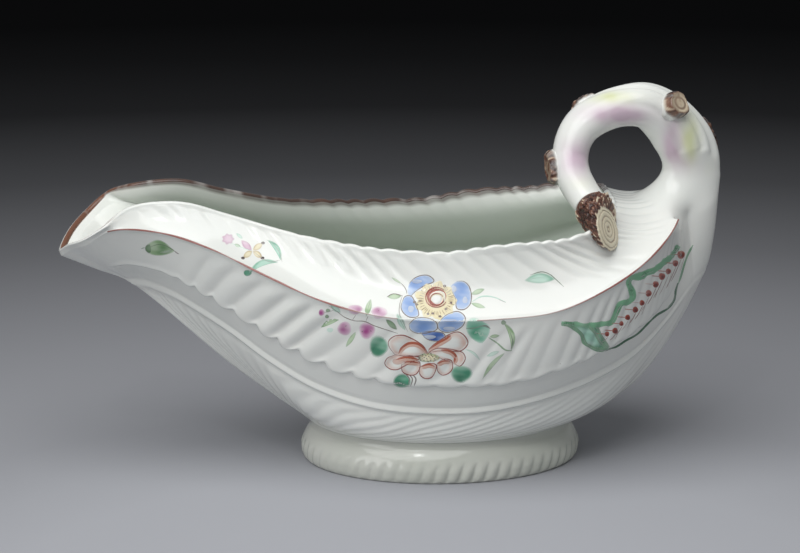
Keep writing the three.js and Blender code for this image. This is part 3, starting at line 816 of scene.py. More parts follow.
    def belly_relief(self, s: Array, v: Array) -> Array:
        """The relief below the ridge: welts, the overlapping leaf edge, the lower rib and its veins.

        Args:
            s: places along the hull.
            v: places down from the ridge.

        Returns:
            Heights in millimetres.
        """
        edge = self.edge_at
        present = window(self.edge_ramp, s)
        step = -self.edge_step * smooth(edge - 0.004, edge + 0.018, v) * (1 - smooth(0.45, 0.95, v)) * present
        step += 0.3 * groove(v - edge + 0.014, 0.012) * present
        dents = sum(groove(v - at, width) for at, width in self.rib_dents)
        rib = self.rib_rise * groove(v - self.rib_at, 0.018) - self.rib_dent * dents
        relief = self.welts(s, v) + self.lower_relief(s, v) + step
        return relief + rib * smooth(0, 0.1, s) * (1 - 0.85 * smooth(0.8, 0.95, s))

    def scallop(self, s: Array, v: Array) -> Array:
        """The scallops of the leaf edge.

        Args:
            s: places along the hull.
            v: places down from the ridge.

        Returns:
            How far each place moves down, as a share of the belly.
        """
        size = lerp(self.edge_scallop, 0.35, smooth(0.42, 0.6, s)) * smooth(0.2, 0.32, s)
        lobes = size * welt(self.phase(s) * self.bold_share + 2.2) * (1 + 0.5 * self.sway(s * 23 + 4))
        return lobes / self.hull.belly_length * groove(v - self.edge_at, 0.045) * (1 - smooth(0.9, 0.98, s))

    def ridge_rise(self, s: Array) -> Array:
        """How far the ridge's bead stands up."""
        split = self.hull.split
        return self.bead * smooth(0.12, 0.2, s) * (1 - smooth(split - 0.08, split, s))

    def outer(self, patch: Callable[[Array, Array], Array], s: Array, v: Array) -> Array:
        """The outside with its relief.

        Args:
            patch: the hull's blade or belly.
            s: places along the hull.
            v: places down the patch.

        Returns:
            Points in millimetres.
        """
        if patch == self.hull.blade:
            relief = self.blade_relief(s, v) * smooth(0, 0.03, 1 - v)
            relief += self.ridge_rise(s) * groove(1 - v, 0.035)
            return patch(s, v) + self.hull.normal(patch, s, v) * relief[:, None]
        moved = np.clip(v + self.scallop(s, v), 0, 1)
        relief = self.belly_relief(s, v) * (1 - smooth(0.985, 1, v)) + self.ridge_rise(s) * groove(v, 0.009)
        return patch(s, moved) + self.hull.normal(patch, s, np.clip(v, 0.004, 1)) * relief[:, None]

    def ridge_normal(self, s: Array) -> Array:
        """The ridge's outward direction, between those of the two patches."""
        ends = self.hull.normal(self.hull.blade, s, np.ones_like(s)), self.hull.normal(self.hull.belly, s, 0 * s)
        return unit(ends[0] + ends[1])

    def ridge_row(self, s: Array, end: float) -> Array:
        """The ridge, which both patches share, with its bead and its end as Hull.ridge has it."""
        rise = np.where(s < self.hull.split, self.ridge_rise(s), 0)
        return self.hull.ridge(s, end) + self.ridge_normal(s) * rise[:, None]

    def rim_edge(self, s: Array) -> tuple[Array, Array]:
        """The rim's scalloped outer edge.

        Args:
            s: places along the hull.

        Returns:
            Its points and its outward directions.
        """
        wave = self.rim_wave * (0.5 * welt(self.phase(s)) + 1.4 * self.sway(s * 33 + 2)) * window(self.rim_ramp,
                                                                                                  s)
        wave += 0.2 * self.sway(s * 60 + 5) * smooth(0, 0.05, s)
        outward = self.hull.outward(s)
        edge = self.hull.rim(s) + outward * wave[:, None] * 0.6
        edge[:, 2] += wave
        return edge, outward

    def lip_rows(self, s: Array) -> Array:
        """The rounded lip, from the inside over to the outside.

        Args:
            s: places along the hull.

        Returns:
            Points in millimetres, shaped (turns, places, 3).
        """
        edge, outward = self.rim_edge(s)
        rows = []
        for turn in np.radians(self.lip_turns):
            reach = self.lip / 2 * (1 + math.cos(turn))
            lift = self.lip * self.lip_rise * math.sin(turn) - self.lip / 8 * (1 + math.cos(turn)) / 2
            point = edge - outward * reach
            point[:, 2] += lift
            rows.append(point)
        return np.array(rows)

    def lip_tints(self, s: Array, side: Side) -> Array:
        """The brown line over the lip, warmer at the spout. The near side has it at the tip only.

        Args:
            s: places along the hull.
            side: the side.

        Returns:
            Colours, shaped (turns, places, 4).
        """
        warm = np.clip(0.9 - smooth(0.12, 0.34, s) + 0.3 * self.sway(s * 130 + 3), 0, 1)
        colour = lerp(Pigment.RIM.rgba(), Pigment.RIM_WARM.rgba(), warm[:, None])
        worn = np.clip(1 + 0.2 * self.sway(s * 95 + 1) + 0.2 * self.sway(s * 310 + 2), 0.7, 1)
        rows = []
        for turn in self.lip_turns:
            first, last = (52, 128) if side == Side.NEAR else (-14, 140)
            band = smooth(first, first + 22, turn) * (1 - smooth(last - 24 + 12 * self.sway(s * 150), last, turn))
            row = colour.copy()
            row[:, 3] = 0.97 * band * worn * (1 - smooth(0.15, 0.22, s) if side == Side.NEAR else 1)
            rows.append(row)
        return np.array(rows)

    def inner_rows(self, s: Array, count: int = 34) -> Array:
        """The inside, from the lip down to the floor.

        Args:
            s: places along the hull.
            count: how many rows the wall has.

        Returns:
            Points in millimetres, shaped (rows, places, 3).
        """
        hull = self.hull
        wall = lerp(self.tip_wall, self.wall, smooth(0, 0.14, s))
        stern = smooth(0.7, 0.95, s)
        spout = 1 - smooth(0.25, 0.45, s)
        thick = lerp(wall, self.stern_wall, stern)

        def under(patch: Callable[[Array, Array], Array], v: Array | float, depth: Array) -> Array:
            """A place under the outside, kept on its own side of the middle.

            Args:
                patch: the hull's blade or belly.
                v: places down it.
                depth: how far under.

            Returns:
                Points in millimetres.
            """
            v = np.broadcast_to(v, s.shape)
            outside = patch(s, v)
            inside = outside - hull.normal(patch, s, v) * depth[:, None]
            inside[:, 1] = np.minimum(inside[:, 1], outside[:, 1] * self.middle_share)
            return inside

        edge, outward = self.rim_edge(s)
        start = edge - outward * self.lip
        start[:, 2] -= self.lip / 8
        shares = (0.02 + 0.1 * stern + 0.03 * spout, 0.12 + 0.06 * stern, 0.25, 0.45, 0.65, 0.83)
        belly = [under(hull.belly, v, thick) for v in shares]
        width = np.linalg.norm(hull.ridge(s, 0) - hull.rim(s), axis=1)
        corner = np.clip(1 - self.corner_walls * wall / width, 0, 0.7)
        opened = smooth(0, 0.7, corner)[:, None]
        blade = []
        for share in (0.43, 1.0):
            straight = lerp(start, belly[0], share * 0.7)
            blade.append(lerp(straight, under(hull.blade, share * corner, wall), opened))
        centre = np.array([hull.foot_centre, 0, 0])
        last = lerp(hull.foot(s), centre, 0.14)
        last[:, 2] = self.floor
        curve = np.stack([start, *blade, *belly, last], axis=1)
        rows = [spline(curve, np.full(len(s), max(k, 0.35) / count)) for k in range(count + 1)]
        for share in self.floor_rings:
            row = lerp(last, centre, share)
            row[:, 2] = self.floor
            rows.append(row)
        return np.array(rows)

    def add_to(self, skin: Skin) -> Array:
        """Adds the whole hull to a skin.

        Args:
            skin: the skin that takes it.

        Returns:
            The indices of the points round the stalk's seat, from its front round by the near side.
        """
        hull = self.hull
        columns = hull.last * self.steps
        s = np.arange(columns + 1) / columns
        inner = self.inner_rows(s)
        near = {
            "inside": np.concatenate([self.lip_rows(s)[::-1], inner]),
            "blade": np.array([self.outer(hull.blade, s, np.full_like(s, v)) for v in self.blade_rows]),
            "belly": np.array([self.outer(hull.belly, s, np.full_like(s, v)) for v in self.belly_rows]),
        }
        near["blade"][0] = self.rim_edge(s)[0]
        near["blade"][-1] = self.ridge_row(s, 0)
        near["belly"][0] = self.ridge_row(s, 180)
        # the inside's tint is partly pooled glaze and partly painted shade: faint under the lip and at the spout,
        # full elsewhere
        green = np.broadcast_to(Pigment.INSIDE.rgba(self.green), (*inner.shape[:2], 4)).copy()
        green[:4, :, 3] *= np.array([0.05, 0.2, 0.5, 0.8])[:, None]
        green[..., 3] *= 0.15 + 0.85 * smooth(0.08, 0.34, s)
        tint = {}
        for side in Side:
            lip = self.lip_tints(s, side)[::-1]
            first = lip[-1:] if side == Side.FAR else green[:1]
            tint[side] = np.concatenate([lip, first, green[1:]])
        points, tints = {}, {}
        for name, rows in near.items():
            plain = np.zeros((*rows.shape[:2], 4))
            near_tint, far_tint = (tint[side] if name == "inside" else plain for side in Side)
            points[name] = np.concatenate([rows, rows[:, 1:-1][:, ::-1] * MIRROR], axis=1)
            tints[name] = np.concatenate([near_tint, far_tint[:, 1:-1][:, ::-1]], axis=1)
        rows = np.concatenate([points["inside"][::-1], points["blade"]])
        upper = skin.add(rows, closed=True, tint=np.concatenate([tints["inside"][::-1], tints["blade"]]))
        lower = skin.add(points["belly"], closed=True)
        skin.fan(upper[0], [hull.foot_centre, 0, self.floor], tint=Pigment.INSIDE.rgba(self.green))
        skin.fan(lower[-1], [hull.foot_centre, 0, 0], flipped=True)
        split = (hull.last - 1) * self.steps
        front = upper[-1][split:2 * columns - split + 1]
        back = lower[0][split:2 * columns - split + 1]
        middle = self.steps
        return np.concatenate([front[:middle + 1][::-1], back[1:-1], front[middle:][::-1][:-1]])

    def corner(self) -> tuple[Array, float, int]:
        """Where the clay is smoothed: round the front of the stalk's seat and on the ridge's two ends.

        Returns:
            Points there, and the reach and the number of rounds for Skin.soften.
        """
        start, stop, count = self.ridge_end
        ends = self.hull.ridge(np.linspace(start, stop, count) / self.hull.last, 0)
        ring = np.concatenate([self.hull.seat(np.linspace(*self.seat_front)), ends, ends * MIRROR])
        return ring, self.corner_reach, self.corner_rounds


@dataclass
class StalkHandle:
    """The twisted stalk that grows out of the stern, loops up and curls forward over the opening.

    path gives places from the seat on, each with its two half thicknesses. strands gives each crease's start and
    turn in degrees, its width, and the share of the length that it reaches. washes gives each wash's pigment,
    its middle and its half sizes in the camera's frame, and its strength.
    """

    hull: Hull
    view: View
    path: tuple = (
        ((-0.3, 0, 6), (9.3, 7.2)),
        ((-2.4, -0.3, 12), (8.9, 7.2)),
        ((-8.1, -1, 19.2), (8.1, 7)),
        ((-14.9, -2, 23.4), (7.2, 6.8)),
        ((-23, -2.8, 23.4), (6.4, 6.6)),
        ((-29.8, -3.5, 21.2), (6.2, 6.5)),
        ((-34.9, -4.5, 18), (6.2, 6.4)),
        ((-38, -5.6, 13.4), (6.2, 6.4)),
        ((-39.4, -8, 7.6), (6.2, 6.3)),
        ((-39, -12.4, 3.4), (6, 6.1)),
        ((-37.3, -18, -0.1), (5.6, 5.8)),
        ((-34.9, -24, -3.4), (5.1, 5.2)),
    )
    twist: float = 130.0
    rings: int = 300
    crease: float = 0.75
    shrink: float = 0.03
    strands: tuple = ((58, 45, 11, 0.5), (100, 70, 9, 0.6), (135, 55, 10, 0.42), (250, 60, 12, 0.5),
                      (305, 50, 11, 0.45))
    washes: tuple = (
        (Pigment.HANDLE_LILAC, 617, 114, 30, 9, 1.1),
        (Pigment.HANDLE_LILAC, 578, 162, 17, 20, 1.0),
        (Pigment.HANDLE_LILAC, 672, 148, 9, 28, 1.1),
        (Pigment.HANDLE_LILAC, 684, 182, 10, 20, 1.0),
        (Pigment.HANDLE_GREEN, 582, 192, 17, 11, 1.0),
        (Pigment.HANDLE_GREEN, 690, 142, 8, 24, 1.0),
        (Pigment.HANDLE_GREEN, 712, 186, 7, 16, 0.9),
        (Pigment.HANDLE_GREEN, 610, 97, 24, 6, 0.85),
        (Pigment.HANDLE_LILAC, 701, 192, 9, 22, 0.8),
    )

    def __post_init__(self) -> None:
        """Works out the centre line and the half thicknesses."""
        seat = np.array([self.hull.seat_x, 0, self.hull.seat_height])
        self.line = np.array([(0, 0, 0.3)] + [at for at, _ in self.path], float) + seat
        halves = [(self.hull.seat_depth, self.hull.seat_width)] + [half for _, half in self.path]
        self.halves = np.array([(*half, 0) for half in halves], float)
        self.uneven = Drift(21, 9, 2)

    def frame_at(self, t: Array) -> tuple[Array, Array, Array, Array, Array]:
        """The stalk's frame.

        Args:
            t: shares of its length.

        Returns:
            Its middle, direction, the direction out of the loop, the one to the viewer, and the half thicknesses.
        """
        middle = spline(self.line, t)
        along = unit(spline(self.line, np.minimum(t + 1e-4, 1)) - spline(self.line, np.maximum(t - 1e-4, 0)))
        along[t <= 0] = (0, 0, 1)
        outward = unit(-np.cross(np.array([0.0, -1.0, 0.0]), along))
        side = unit(-np.cross(along, outward))
        return middle, along, outward, side, spline(self.halves, t)[:, :2]

    def ring_rows(self, t: Array, degrees: Array) -> Array:
        """Rows of points round the stalk.

        Args:
            t: the rows' shares of its length.
            degrees: the points' places round each row.

        Returns:
            Points in millimetres, shaped (rows, places, 3).
        """
        middle, _, outward, side, half = self.frame_at(t)
        angle = degrees[None, :]
        flat = self.hull.outline(angle, half[:, :1], half[:, 1:2], self.twist * t[:, None])
        relief = 1 + self.relief(t[:, None], angle) / half.mean(axis=1)[:, None]
        flat = flat * relief[:, :, None]
        return middle[:, None] + outward[:, None] * flat[:, :, :1] - side[:, None] * flat[:, :, 1:2]

    def relief(self, t: Array, degrees: Array) -> Array:
        """Soft creases between the strands, which turn with the stalk and fade towards the loop's top.

        Args:
            t: shares of its length.
            degrees: places round it.

        Returns:
            Heights in millimetres.
        """
        total = np.zeros(np.broadcast(t, degrees).shape)
        for start, turn, width, reach in self.strands:
            away = (degrees - start - turn * t / 0.4 + 180) % 360 - 180
            total -= self.crease * groove(away, width) * (1 - smooth(reach * 0.4, reach, t))
        total += 0.12 * self.uneven(np.radians(degrees) * 2, t * 14) - self.shrink
        return total * smooth(0.0, 0.04, t)

    def tints(self, rows: Array, offset: Array) -> Array:
        """Soft washes of lilac and yellow green: the listed ones where the viewer sees them, others behind.

        Args:
            rows: the stalk's points.
            offset: from the potter's frame to the shared one.

        Returns:
            Colours, shaped (rows, places, 4).
        """
        middle = rows.mean(axis=1, keepdims=True)
        facing = np.clip(((rows - middle) @ self.view.axes[0]) / 4 + 0.15, -1, 1)
        place = self.view.seen(rows + offset)
        total = np.zeros((*rows.shape[:2], 4))
        for pigment, x, y, width, height, strength in self.washes:
            for sign, shift in ((1, 0), (-1, 14)):
                away = ((place[..., 0] - x - shift) / width) ** 2 + ((place[...,
                                                                            1] - y - shift / 2) / height) ** 2
                share = strength * np.exp(-away) * np.clip(facing * sign, 0, 1)
                total[..., :3] += share[..., None] * np.array(pigment.value)
                total[..., 3] += share
        total[..., :3] /= np.maximum(total[..., 3:], 1e-6)
        seat = smooth(0, 9, rows[..., 2] - self.hull.seat_height)
        cloudy = 1 + 0.3 * self.uneven(rows[..., 0] * 0.5, rows[..., 2] * 0.4)
        total[..., 3] = seat * np.minimum(total[..., 3] * cloudy, 0.92)
        return total

    def add_to(self, skin: Skin, seat: Array, offset: Array) -> Array:
        """Adds the stalk to a skin, on the points of its seat.

        Args:
            skin: the skin that takes it.
            seat: the indices round its seat.
            offset: from the potter's frame to the shared one.

        Returns:
            The indices of its last ring.
        """
        steps = len(seat) // 4
        share = np.arange(steps) / steps
        near = np.concatenate([share * self.hull.seat_split, lerp(self.hull.seat_split, 180.0, share)])
        degrees = np.concatenate([near, [180.0], 360 - near[1:][::-1]])
        rows = self.ring_rows(np.arange(1, self.rings + 1) / self.rings, degrees)
        index = skin.add(rows, tint=self.tints(rows, offset), faces=False)
        skin.part = 1
        skin.sheet(np.concatenate([seat[None, :], index])[:, ::-1], closed=True)
        skin.fan(index[-1], spline(self.line, np.array([1.0]))[0])
        return index[-1]


def turned(vectors: Array, axis: Array, angle: Array) -> Array:
    """Turns vectors about an axis.

    Args:
        vectors: the vectors, shaped (count, 3).
        axis: a unit vector.
        angle: each one's turn in radians, shaped (count, 1).

    Returns:
        The turned vectors.
    """
    c, s = np.cos(angle), np.sin(angle)
    return vectors * c + np.cross(axis, vectors) * s + axis * (vectors @ axis)[..., None] * (1 - c)


@dataclass
class BranchEnd:
    """The thick sawn end of the stalk: a sleeve of bark with a ragged collar, and a face with growth rings.

    grains gives the bark's height in sizes, each with its fineness round the branch and along it. rings gives
    each growth ring's share of the radius, its width and its strength.
    """

    stalk: StalkHandle
    share: float = 14 / 17
    rest: tuple = (1.2, -2.1, 0.8)
    normal: tuple = (0.8, -0.5, 0.33)
    radius: float = 6.9
    sides: int = 300
    levels: int = 96
    face_levels: int = 46
    relief: float = 0.42
    grains: tuple = ((0.55, 1, 1), (0.6, 3, 2.2), (0.75, 7, 6), (0.4, 11, 15))
    rings: tuple = ((0.86, 0.03, 0.7), (0.6, 0.045, 0.85), (0.36, 0.035, 0.75), (0.1, 0.05, 0.85))
    ring_tone: tuple = (0.5, 0.42, 0.4, 1)

    def __post_init__(self) -> None:
        """Draws the unevenness of the bark, and sets the places round the branch."""
        self.rough, self.ragged = Drift(41, 12, 3), Drift(42, 9, 1)
        self.turn = np.linspace(0, 2 * math.pi, self.sides, endpoint=False)

    def bark(self, t: float) -> tuple[Array, Array]:
        """One row of the bark.

        Args:
            t: its place, from inside the stalk (0) to the sawn edge (1).

        Returns:
            Its heights in millimetres, and its colours.
        """
        turn, rough, ragged = self.turn, self.rough, self.ragged
        x, y, z = np.cos(turn) * 2.6, np.sin(turn) * 2.6, np.full_like(turn, t * 3.0)
        a, b, c, d = (size * rough(x * round_, y * round_, z * along) for size, round_, along in self.grains)
        deep = (a + b) + (c + d)
        collar = smooth(0.03 + 0.06 * ragged(turn * 5), 0.1 + 0.09 * ragged(turn * 5), t)
        height = self.relief * deep * collar * (1 - 0.6 * smooth(0.93, 1, t)) - 0.45 * (1 - collar)
        height -= 0.25 * smooth(0.955, 1, t)
        # the colour follows the relief: darker in the hollows as painted shade, paler with cream flecks on the
        # crests as painted highlight
        shade = np.clip(0.42 + 0.75 * deep, 0, 1)[:, None]
        pale = lerp(Pigment.BARK.rgba(), Pigment.BARK_PALE.rgba(), smooth(0.55, 1, shade))
        colour = lerp(Pigment.BARK_DEEP.rgba(), pale, smooth(0.0, 0.5, shade))
        colour = lerp(colour, Pigment.SAWN.rgba(), 0.7 * smooth(0.92, 1, shade))
        colour = lerp(colour, Pigment.SAWN.rgba(), smooth(0.955, 0.99, t) * 0.9)
        colour[:, 3] = np.clip(collar + 0.1, 0, 1)
        return height, colour

    def sawn(self, share: float) -> tuple[Array, Array]:
        """One ring of points on the sawn face.

        Args:
            share: its share of the radius.

        Returns:
            Its heights in millimetres, and its colours.
        """
        turn = self.turn
        waver = share + 0.02 * self.rough(np.cos(turn) * 1.5, np.sin(turn) * 1.5, np.full_like(turn, 5.0))
        dent = sum(groove(waver - at, width) for at, width, _ in self.rings)
        colour = np.repeat(Pigment.SAWN.rgba()[None], self.sides, axis=0)
        for at, width, strength in self.rings:
            uneven = 0.8 + 0.2 * np.sin(turn * 2 + at * 9)[:, None]
            dark = strength * groove(waver - at, width * 0.8)[:, None] * uneven
            colour = lerp(colour, Pigment.STUMP.rgba() * self.ring_tone, dark)
        return 0.35 * (1 - share**6) - 0.22 * dent, colour

    def build(self, offset: Array) -> bpy.types.Object:
        """Makes the piece.

        Args:
            offset: from the potter's frame to the shared one.

        Returns:
            The object.
        """
        middle, along, outward, side, half = (part[0] for part in self.stalk.frame_at(np.array([1.0])))
        face = self.stalk.hull.rim(np.array([self.share]))[0] + self.rest
        normal = unit(np.array(self.normal))
        axis = unit(np.cross(along, normal))
        whole = math.acos(float(along @ normal))
        across = -outward * np.cos(self.turn)[:, None] + side * np.sin(self.turn)[:, None]
        rows, tints = [], []
        for t in np.linspace(0, 1, self.levels):
            radius = lerp(half[1], self.radius, smooth(-0.3, 0.7, t))
            height, colour = self.bark(t)
            spokes = turned(across, axis, np.full((self.sides, 1), whole * t))
            rows.append(lerp(middle, face, t) + spokes * (radius + height)[:, None])
            tints.append(colour)
        rim = rows[-1]
        for share in np.linspace(0.985, 0.02, self.face_levels):
            height, colour = self.sawn(share)
            rows.append(face + (rim - face) * share + normal * height[:, None])
            tints.append(colour)
        skin = Skin()
        index = skin.add(np.array(rows)[::-1], closed=True, tint=np.array(tints)[::-1])
        skin.fan(index[0], face + normal * 0.3, tint=Pigment.SAWN.rgba())
        skin.fan(index[-1], middle, flipped=True, tint=Pigment.BARK.rgba())
        return skin.build(["branch_bark"], offset)[0]


@dataclass
class Twig:
    """The stump of a lopped twig: a low ring of brown bark about a cut face.

    It stands at a share along the stalk, at an angle from the loop's outside towards the viewer.
    """

    name: str
    stalk: StalkHandle
    along: float
    angle: float
    radii: tuple
    rise: float
    worn: float = 0.0
    sides: int = 144
    bark_rows: int = 7
    rough_rows: int = 9
    rings: tuple = ((0.5, 1.0), (0.88, 0.9))
    ring_width: float = 0.09

    def profile(self, reach: float) -> list[tuple[float, float]]:
        """The stump's section.

        Args:
            reach: the stalk's half thickness where the twig stands.

        Returns:
            Shares of the radii with heights over the stalk's middle, from inside the stalk to the cut's middle.
        """
        rise, top = self.rise, reach + self.rise
        bark = [(1.14, reach * 0.5), (1.13, reach * 0.85), (1.12, reach - rise * 0.1), (1.1, reach + rise * 0.2)]
        bark += [(1.06, reach + rise * 0.45), (1.02, reach + rise * 0.7), (0.97, top - rise * 0.1), (0.9, top)]
        cut = [(0.82, top + 0.02), (0.74, top - 0.05), (0.64, top - 0.12), (0.55, top - 0.2), (0.46, top - 0.12)]
        return bark + cut + [(0.34, top - 0.05), (0.18, top)]

    def build(self, offset: Array) -> bpy.types.Object:
        """Makes the piece.

        Args:
            offset: from the potter's frame to the shared one.

        Returns:
            The object.
        """
        middle, along, outward, side, half = (part[0] for part in self.stalk.frame_at(np.array([self.along])))
        turn = math.radians(self.angle)
        out = unit(outward * math.cos(turn) + side * math.sin(turn))
        across = unit(np.cross(out, along))
        reach = 1 / math.hypot(math.cos(turn) / half[0], math.sin(turn) / half[1])
        round_ = np.linspace(0, 2 * math.pi, self.sides, endpoint=False)
        x, y = np.cos(round_), np.sin(round_)
        rough = Drift(50 + len(self.name), 9, 2)
        rows, tints = [], []
        for k, (share, height) in enumerate(self.profile(reach)):
            knobs = 0.1 * rough(x * 4, y * 4 + height) + 0.07 * rough(x * 10, y * 10 + height * 2)
            bark = 1 + knobs * (k < self.rough_rows)
            place = along * (x * self.radii[0] * share * bark)[:, None]
            rows.append(middle + out * height + place + across * (y * self.radii[1] * share * bark)[:, None])
            if k < self.bark_rows:
                shade = np.clip(0.22 + 0.75 * rough(x * 12 + height, y * 12), 0, 1)[:, None]
                colour = lerp(Pigment.BARK_DEEP.rgba(), Pigment.BARK_PALE.rgba(), shade)
                colour = lerp(colour, Pigment.SAWN.rgba(), 0.5 * smooth(0.85, 1, shade))
                bare = smooth(reach - 1.2, reach + 0.2, height) + 0.2 * rough(x * 5, y * 5)
                colour[:, 3] = np.clip(bare, 0, 1)
            else:
                ring = max(size * float(groove(share - at, self.ring_width)) for at, size in self.rings)
                worn = np.clip(self.worn + 0.35 * rough(x * share * 7, y * share * 7), 0, 1)[:, None]
                cut = lerp(Pigment.SAWN.rgba(), Pigment.STUMP.rgba(), 0.35)
                colour = lerp(cut, Pigment.BARK.rgba(), np.maximum(0.85 * ring, worn))
            tints.append(colour)
        skin = Skin()
        index = skin.add(np.array(rows)[::-1], closed=True, tint=np.array(tints)[::-1])
        top = lerp(Pigment.SAWN.rgba(), Pigment.STUMP.rgba(), 0.6)
        skin.fan(index[0], middle + out * (reach + self.rise), tint=top)
        skin.fan(index[-1], middle + out * reach * 0.5, flipped=True)
        return skin.build([self.name + "_bark"], offset)[0]


@dataclass
class Brush:
    """Lays enamel on the glaze where the camera sees it, or the same on the far side.

    Enamel of a higher level lies over that of a lower one. lift is the height of one level.
    """

    view: View
    tree: BVHTree
    skin: Skin
    side: Side = Side.NEAR
    move: tuple = (0.0, 0.0)
    scale: float = 1.0
    about: tuple = (430.0, 320.0)
    lift: float = 0.03
    level: int = 0

    def __post_init__(self) -> None:
        """Draws the unevenness of the hand."""
        self.grain = Drift(61, 12, 2)

    def land(self, places: Array) -> tuple[Array, Array]:
        """Where places of the camera's frame lie on the hull.

        Args:
            places: places in the frame, shaped (rows, columns, 2).

        Returns:
            Millimetres in the shared frame and outward normals, each shaped (rows, columns, 3).
        """
        shape = places.shape[:2]
        flat = (places.reshape(-1, 2) - self.about) * self.scale + self.about + self.move
        eye = Vector(self.view.eye * MM)
        points, normals = np.zeros((len(flat), 3)), np.zeros((len(flat), 3))
        last = (Vector((0, 0, 0)), Vector((0, -1, 0)))
        for i, ray in enumerate(self.view.rays(flat)):
            hit, normal, _, _ = self.tree.ray_cast(eye, Vector(ray))
            if hit is not None:
                last = (hit, normal if normal.dot(Vector(ray)) < 0 else -normal)
            points[i], normals[i] = last
        mirror = np.array([1.0, self.side.value, 1.0])
        return (points / MM * mirror).reshape(*shape, 3), (normals * mirror).reshape(*shape, 3)

    def lay(self, points: Array, normals: Array, tint: Array, closed: bool = False) -> None:
        """Adds a patch of enamel, its outside outwards.

        Args:
            points: its points, shaped (rows, columns, 3).
            normals: the hull's outward normals there.
            tint: its colours, shaped (rows, columns, 4).
            closed: whether the last column joins the first.
        """
        turn = np.cross(points[1:, 1:] - points[:-1, :-1], points[:-1, 1:] - points[1:, :-1])
        if np.sum(turn * normals[:-1, :-1]) < 0:
            points, tint = points[:, ::-1], tint[:, ::-1]
        self.skin.add(points, closed=closed, tint=tint)

    def wash(self, outline: Array | list, colour: Pigment | Pair, pool: tuple | None = None,
             strength: float = 0.85, soft: float = 0.3) -> None:
        """Fills an outline.

        Args:
            outline: places round it in the camera's frame.
            colour: the enamel.
            pool: where it pools, as a place and a reach; at the edge if there is none.
            strength: how much it covers.
            soft: the share of the way to the edge over which it fades.
        """
        outline = np.array(outline, float)
        light, deep = colour.value if isinstance(colour, Pair) else (colour, colour)
        length = float(np.sum(np.linalg.norm(outline - np.roll(outline, 1, axis=0), axis=1)))
        count = max(int(length / 1.3), 14)
        ring = flat_curve(outline, np.arange(count) / count, closed=True)
        centre = ring.mean(axis=0)
        reach = float(np.linalg.norm(ring - centre, axis=1).max())
        shares = np.linspace(0, 1, max(int(reach / 1.2), 5))
        places = centre + (ring - centre)[None] * shares[:, None, None]
        points, normals = self.land(places)
        share = np.broadcast_to(shares[:, None], places.shape[:2])
        streak = self.grain(places[..., 0] * 0.22, places[..., 1] * 0.4)
        if pool:
            square = (places[..., 0] - pool[0]) ** 2 + (places[..., 1] - pool[1]) ** 2
            amount = np.exp(-(square / pool[2] ** 2))
        else:
            amount = smooth(0.35, 0.95, share) * 0.8
        amount = np.clip(amount + 0.2 * streak, 0, 1)[..., None]
        tint = lerp(light.rgba(), deep.rgba(), amount)
        fade = 1 - smooth(1 - soft, 1, share) * (0.4 if self.level else 0.9)
        tint[..., 3] = strength * fade * np.clip(0.97 + 0.16 * streak + 0.15 * amount[..., 0], 0.3, 1.15)
        tint[..., 3] = np.minimum(tint[..., 3], 1)
        raised = points + normals * self.lift * (1 + self.level) * (1 - 1.2 * share**6)[..., None]
        self.lay(raised, normals, tint, closed=True)

    def blob(self, centre: tuple, width: float, height: float, colour: Pigment | Pair, pool: tuple | None = None,
             strength: float = 0.85, lobes: int = 0, soft: float = 0.3) -> None:
        """A round or scalloped wash.

        Args:
            centre: its middle in the camera's frame.
            width: half its width.
            height: half its height.
            colour: the enamel.
            pool: where it pools.
            strength: how much it covers.
            lobes: how many scallops it has.
            soft: the share of the way to the edge over which it fades.
        """
        turn = np.linspace(0, 2 * math.pi, 28, endpoint=False)
        grow = 1 + (0.12 * np.cos(lobes * turn) if lobes else 0.05 * np.sin(3 * turn + centre[0]))
        outline = [centre[0] + width * grow * np.cos(turn), centre[1] + height * grow * np.sin(turn)]
        self.wash(np.stack(outline, axis=1), colour, pool, strength, soft)

    def leaf(self, start: tuple, end: tuple, width: float, colour: Pigment | Pair, bend: float = 0.0,
             strength: float = 0.85, vein: Pigment | None = None) -> None:
        """A leaf or petal from one place to another.

        Args:
            start: its first end in the camera's frame.
            end: its other end.
            width: its greatest width.
            colour: the enamel.
            bend: how far its middle line bows out, as a share of its length.
            strength: how much it covers.
            vein: the colour of a line down its middle, if it has one.
        """
        a, b = np.array(start, float), np.array(end, float)
        t = np.linspace(0, 1, 11)[:, None]
        square = np.array([-(b - a)[1], (b - a)[0]])
        middle = a + (b - a) * t + square * bend * 4 * t * (1 - t)
        half = width / 2 * np.sin(math.pi * t) ** 0.75 * square / np.linalg.norm(square)
        outline = np.concatenate([middle + half, (middle - half)[1:-1][::-1]])
        self.wash(outline, colour, strength=strength, soft=0.25)
        if vein:
            self.stroke(middle[1:-1], vein, 0.22, 0.7)

    def stroke(self, line: Array | list, colour: Pigment, width: float = 0.3, strength: float = 0.95,
               taper: float = 0.6) -> None:
        """Draws a line.

        Args:
            line: places along it in the camera's frame.
            colour: the enamel.
            width: its width in millimetres, as the camera sees it.
            strength: how much it covers.
            taper: how much it thins towards its ends.
        """
        line = np.array(line, float)
        length = float(np.sum(np.linalg.norm(np.diff(line, axis=0), axis=1)))
        t = np.linspace(0, 1, max(int(length / 1.2), 4))
        places = flat_curve(line, t)
        along = np.gradient(places, axis=0)
        square = unit(np.stack([-along[:, 1], along[:, 0]], axis=1))
        press = (1 - taper * (2 * t - 1) ** 4) * (1 + 0.2 * self.grain(places[:, 0] * 0.3, places[:, 1] * 0.3))
        reach = RIBBON[:, None] * press * width / 2 * self.view.scale
        self.ribbon(*self.land(places[None] + square[None] * reach[..., None]), press, colour, strength)

